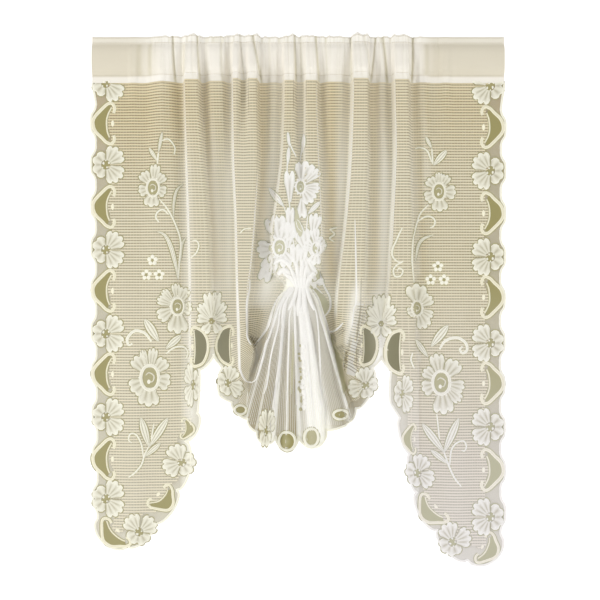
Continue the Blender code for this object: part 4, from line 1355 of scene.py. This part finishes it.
# Heading. One strip of plain cream cloth, folded double: a rod pocket between two rows of stitches, a small
# frill above it, and the seam below it that takes in the lace. It is flat at its ends and gathered between.
WEAVE_PITCH = 0.9
WALL = 1.0
POCKET_HALF = 8.0
FRILL_DROP = 12.0
POCKET_FOOT = 71.0
TOP_LIFT = 0.10
HEADING_ENDS = (-373.0, 369.0)
OPEN = ((0, 0), (12, 0), (22, 0.8), (42, 1), (60, 0.8), (71, 0.05), (83, 0))
FRONT = ((0, 0.25), (12, 0.3), (22, 0.42), (42, 0.6), (60, 0.85), (71, 0.97), (83, 1))
BACK = ((0, 0.25), (12, 0.3), (20, 0), (64, 0), (71, 0.85), (83, 1))
Tuck = namedtuple("Tuck", "top seam deep wide")
TUCKS = (
    Tuck(-266, -267, 1.0, 10), Tuck(-228.4, -222.7, 4.0, 7), Tuck(-192, -190, 1.2, 7),
    Tuck(-184, -178, 3.6, 6), Tuck(-171, -170, 1.0, 6), Tuck(-141, -138, 2.2, 9),
    Tuck(-127, -125, 1.0, 6), Tuck(-107, -99, 2.4, 6),
    Tuck(-84, -68, 3.8, 7), Tuck(-55, -53, 1.2, 11), Tuck(-20, -19, 1.4, 5), Tuck(-9, -6, 4.0, 6),
    Tuck(2, 3.6, 2.4, 7), Tuck(29, 35, 3.8, 7), Tuck(46, 50, 1.8, 8), Tuck(74, 71, 1.0, 8),
    Tuck(92, 93, 2.8, 5), Tuck(116, 129, 2.0, 7), Tuck(137, 128, 3.4, 6), Tuck(150, 158, 3.8, 9),
    Tuck(196, 197, 1.2, 4),
    Tuck(204, 202, 4.0, 7), Tuck(250, 249, 0.8, 6),
)


# Soft upright bands of shade in the pocket: place and half width.
SOFT_SHADES = ((-288, 5), (-269, 4), (-207, 4), (228, 5))


def small_tucks():
    """Fine soft creases between the measured tucks, uneven in place, slant and depth."""
    chance = np.random.default_rng(11)
    rows = []
    for x in np.arange(-262.0, 214.0, 6.5):
        top = x + chance.uniform(-3.0, 3.0)
        deep = chance.uniform(0.2, 1.1) * np.interp(x, (-262, -225, 200, 214), (0.5, 1.0, 1.0, 0.4))
        rows.append(Tuck(top, top + chance.uniform(-4.0, 8.0), deep, chance.uniform(3.5, 7.0)))
    return rows


def tucked(x, drop, rows):
    """How deep the tucks cut in at a place of the heading."""
    share = ramp(drop, 0.0, HEADING_DROP)
    total = np.zeros(np.broadcast(x, drop).shape)
    for tuck in rows:
        away = np.abs(x - (tuck.top + (tuck.seam - tuck.top) * share)) / (tuck.wide / 2.0)
        total = np.maximum(total, tuck.deep * ramp(away, 1.0, 0.0))
    return total


def ruffled(x):
    """How much higher the frill's edge stands at a place: low uneven puffs where the heading is gathered."""
    gathered = ramp(x, -255.0, -225.0) * ramp(x, 222.0, 202.0)
    puffs = np.abs(np.sin(x / 7.3) + 0.7 * np.sin(x / 4.1 + 1.0) + 0.5 * np.sin(x / 12.7))
    return gathered * (2.3 * puffs + 1.2 * np.abs(np.sin(x / 3.1 + 0.6 * np.sin(x / 23.0))) - 1.6)


def heading_sheet():
    """The doubled strip, from its front edge at the seam over the top fold to its back edge."""
    x = np.arange(HEADING_ENDS[0], HEADING_ENDS[1] + 0.1, 1.25)
    fold = depth(x, HEADING_DROP)
    levels = [83, 80, 77, 74, 71, 68, 64, 56, 48, 40, 32, 24, 18, 15, 12, 9, 6, 3, 1]
    creases = small_tucks()
    # Painted shade lies in the tucks, in the dips of the frill, in the pocket's soft bands and in the
    # gathered strip under it.
    pinched = ramp(ruffled(x), 0.6, -1.0) * (ruffled(x) != 0.0)
    gathered = ramp(x, -240.0, -220.0) * ramp(x, 215.0, 195.0)
    soft = sum(np.exp(-((x - place) / half) ** 2) for place, half in SOFT_SHADES)
    rows, painted_shades = [], []
    for side, drops in ((1.0, levels), (0.0, [0]), (-1.0, levels[::-1])):
        for drop in drops:
            # The tucks close towards the seam, where the lace lies between the two layers.
            cut = np.maximum(tucked(x, drop, TUCKS), tucked(x, drop, creases))
            shade = 0.5 * pinched * (drop < 10.0) + 0.45 * soft * (FRILL_DROP < drop < POCKET_FOOT)
            shade = shade + 0.22 * gathered * (drop > POCKET_FOOT)
            painted_shades.append(np.clip(ramp(cut, 0.0, 3.6) ** 1.5 + shade, 0.0, 1.0))
            cut = cut * ramp(drop, 79.0, 73.0)
            opened = along(OPEN, drop) * POCKET_HALF
            if side < 0.0:
                follow = along(BACK, drop)
                forward = follow * fold - opened - WALL - cut * min(1.0, follow * 2.0)
            else:
                forward = along(FRONT, drop) * fold + side * (opened + WALL) - cut
            lift = ramp(drop, FRILL_DROP, 0.0) * (TOP_LIFT * fold + ruffled(x))
            seam = SEAM_LIFT * fold * (drop / HEADING_DROP) ** 4
            rows.append(np.column_stack((x, drop - lift - seam, forward)))
    count, wide = len(rows), len(x)
    corners = np.arange(count * wide).reshape(count, wide)[:-1, :-1].ravel()
    faces = np.column_stack((corners, corners + 1, corners + wide + 1, corners + wide))
    piece = new_mesh("heading_cloth", np.vstack(rows), faces.tolist())
    down = np.concatenate((83.0 - np.array(levels), (83.0,), 83.0 + np.array(levels[::-1]))) - 83.0
    add_map(piece, "cloth", np.tile(x, count), np.repeat(down, wide))
    add_values(piece, "painted_shade", np.concatenate(painted_shades))
    flat_ends = np.maximum(ramp(x, -236.0, -300.0), ramp(x, 212.0, 242.0))
    down = np.concatenate((levels, (0.0,), levels[::-1]))
    single_layer = np.where(down > POCKET_FOOT, 0.3, np.where(down > FRILL_DROP, 1.0, 0.7))
    add_values(piece, "flat", np.outer(single_layer, flat_ends).ravel())
    return piece


def plain_cloth():
    """Cream plain weave: fine crossed threads, a little paler where the cloth lies double."""
    cloth, tree, shader = new_cloth("plain_cloth", 0.8, 0.25)
    threads, down = crossed_waves(tree, WEAVE_PITCH * MM)
    add_bump(tree, shader, threads, 0.3, 0.0003)
    from_top = compute(tree, "MULTIPLY", compute(tree, "ABSOLUTE", down), 1.0 / (HEADING_DROP * MM))
    bands = new_node(tree, "ShaderNodeValToRGB", {"Fac": from_top})
    # The seam band is a little darker than the frill, as painted shade against the strong light on its
    # forward folds.
    frill, pocket, seam = (0.87, 0.85, 0.79), (0.83, 0.80, 0.725), (0.845, 0.82, 0.76)
    steps = ((0.0, frill), (0.13, frill), (0.15, pocket), (0.83, pocket), (0.86, seam))
    elements = bands.color_ramp.elements
    for n, (position, color) in enumerate(steps):
        step = elements[n] if n < 2 else elements.new(position)
        step.position, step.color = position, (*color, 1.0)
    color = blend(tree, clouds(tree, 7.0, 2.0), bands.outputs["Color"], (0.94, 0.92, 0.90), "MULTIPLY")
    # The flat ends look more tan than the gathered middle, and painted shade darkens the tucks, the dips of
    # the frill and the shaded bands.
    for name, shade in (("flat", (0.78, 0.755, 0.68)), ("painted_shade", (0.76, 0.74, 0.62))):
        color = blend(tree, own_value(tree, name), color, shade, "MULTIPLY")
    tree.links.new(color, shader.inputs["Base Color"])
    return cloth


heading = heading_sheet()
heading.data.materials.append(plain_cloth())


# Stitches of the heading: three rows of cream lockstitch through both layers, at the foot of the frill, at
# the foot of the pocket and along the seam that holds the lace.
STITCH_ROWS = (FRILL_DROP + 1.0, POCKET_FOOT + 1.0, 80.5)
STITCH_PITCH = 3.2


def stitch_tree():
    """Node tree: short dashes at an even pitch along one row of the heading's flat cloth."""
    tree, given, out = new_tree("stitch_row", (
        ("Cloth", "Object"), ("Count", "Int"), ("First", "Vector"), ("Step", "Vector"), ("Size", "Vector"),
        ("Yarn", "Material"),
    ))
    dash = geometry(tree, "MeshCube", {"Size": given["Size"]})
    spot, facing, height = spot_facing_height(tree, given["Cloth"], "cloth")
    row = moved(tree, copied_in_row(tree, dash, given), spot["Value"], facing, height)
    tree.links.new(geometry(tree, "SetMaterial", {"Geometry": row, "Material": given["Yarn"]}), out.inputs[0])
    return tree


stitching = stitch_tree()
stitch_yarn = yarn("stitch_yarn", (0.62, 0.57, 0.45), (0.8, 0.76, 0.64), 900.0)
stitch_pieces = []
for name, drop in zip(("frill_stitches", "pocket_stitches", "seam_stitches"), STITCH_ROWS):
    length = HEADING_ENDS[1] - HEADING_ENDS[0] - 6.0
    row = grown(name, stitching, {
        "Cloth": heading, "Count": int(length / STITCH_PITCH), "Yarn": stitch_yarn,
        "First": ((HEADING_ENDS[0] + 3.0) * MM, (HEADING_DROP - drop) * MM, 0.0),
        "Step": (STITCH_PITCH * MM, 0.0, 0.0), "Size": (0.7 * STITCH_PITCH * MM, 0.6 * MM, 0.8 * MM),
    })
    stitch_pieces.append(row)
for piece in [heading] + stitch_pieces:
    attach(piece, "root")
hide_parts("heading")


# Studio: a pale sweep behind and below the hanging curtain, soft light from all round, and the camera
# straight in front of the middle of the curtain, as in the photograph. None of it is part of the curtain.
CAMERA_AWAY = 2.4        # in metres
PIXEL = 1.8              # how much of the curtain one pixel of the picture shows
FRAME = 600              # pixels across the picture
CENTRE = (0.9, 473.4)    # place of the curtain that the middle of the picture shows
# The sweep in metres: front edge, back wall, floor, top, half width, and the round between wall and floor.
SWEEP_FRONT = -3.2
SWEEP_BACK = 3.1
SWEEP_FLOOR = -1.25
SWEEP_TOP = 2.8
SWEEP_HALF = 5.5
SWEEP_ROUND = 0.5


def pale_sweep():
    """Backdrop: a floor that curves up into a wall."""
    profile = [(SWEEP_FRONT, SWEEP_FLOOR)]
    for a in np.linspace(0.0, np.pi / 2, 12):
        rise, reach = SWEEP_ROUND * (1.0 - np.cos(a)), SWEEP_ROUND * (1.0 - np.sin(a))
        profile.append((SWEEP_BACK - reach, SWEEP_FLOOR + rise))
    profile.append((SWEEP_BACK, SWEEP_TOP))
    points = [(x, y, z) for y, z in profile for x in (-SWEEP_HALF, SWEEP_HALF)]
    faces = [(2 * n, 2 * n + 1, 2 * n + 3, 2 * n + 2) for n in range(len(profile) - 1)]
    data = bpy.data.meshes.new("pale_sweep")
    data.from_pydata(points, [], faces)
    data.shade_smooth()
    paint = bpy.data.materials.new("pale_paint")
    paint.use_nodes = True
    shader = paint.node_tree.nodes["Principled BSDF"]
    shader.inputs["Base Color"].default_value = (0.93, 0.93, 0.92, 1.0)
    shader.inputs["Roughness"].default_value = 0.9
    shader.inputs["Emission Color"].default_value = (1.0, 1.0, 1.0, 1.0)
    shader.inputs["Emission Strength"].default_value = 0.32
    data.materials.append(paint)
    sweep = linked("pale_sweep", data)


def soft_light(name, place, aim, size, power):
    """A large square lamp that faces the curtain."""
    lamp = bpy.data.lights.new(name, "AREA")
    lamp.shape, lamp.size, lamp.energy = "SQUARE", size, power
    holder = linked(name, lamp)
    holder.location = place
    holder.rotation_euler = (Vector(aim) - Vector(place)).to_track_quat("-Z", "Y").to_euler()


pale_sweep()
soft_light("window_side", (-2.5, -1.6, 0.5), (0.0, 0.0, -0.5), 1.6, 42.0)
soft_light("room_side", (2.6, -1.9, -0.1), (0.0, 0.0, -0.5), 2.0, 30.0)
sky = bpy.data.worlds.new("soft_room")
sky.use_nodes = True
sky.node_tree.nodes["Background"].inputs["Color"].default_value = (1.0, 1.0, 1.0, 1.0)
sky.node_tree.nodes["Background"].inputs["Strength"].default_value = 0.62
bpy.context.scene.world = sky
bpy.context.scene.view_settings.view_transform = "Standard"

lens = bpy.data.cameras.new("camera")
lens.sensor_width = 36.0
lens.lens = lens.sensor_width * CAMERA_AWAY / (FRAME * PIXEL * MM)
camera = linked("camera", lens)
camera.location = (CENTRE[0] * MM, -CAMERA_AWAY, -CENTRE[1] * MM)
camera.rotation_euler = (np.pi / 2.0, 0.0, 0.0)
bpy.context.scene.camera = camera
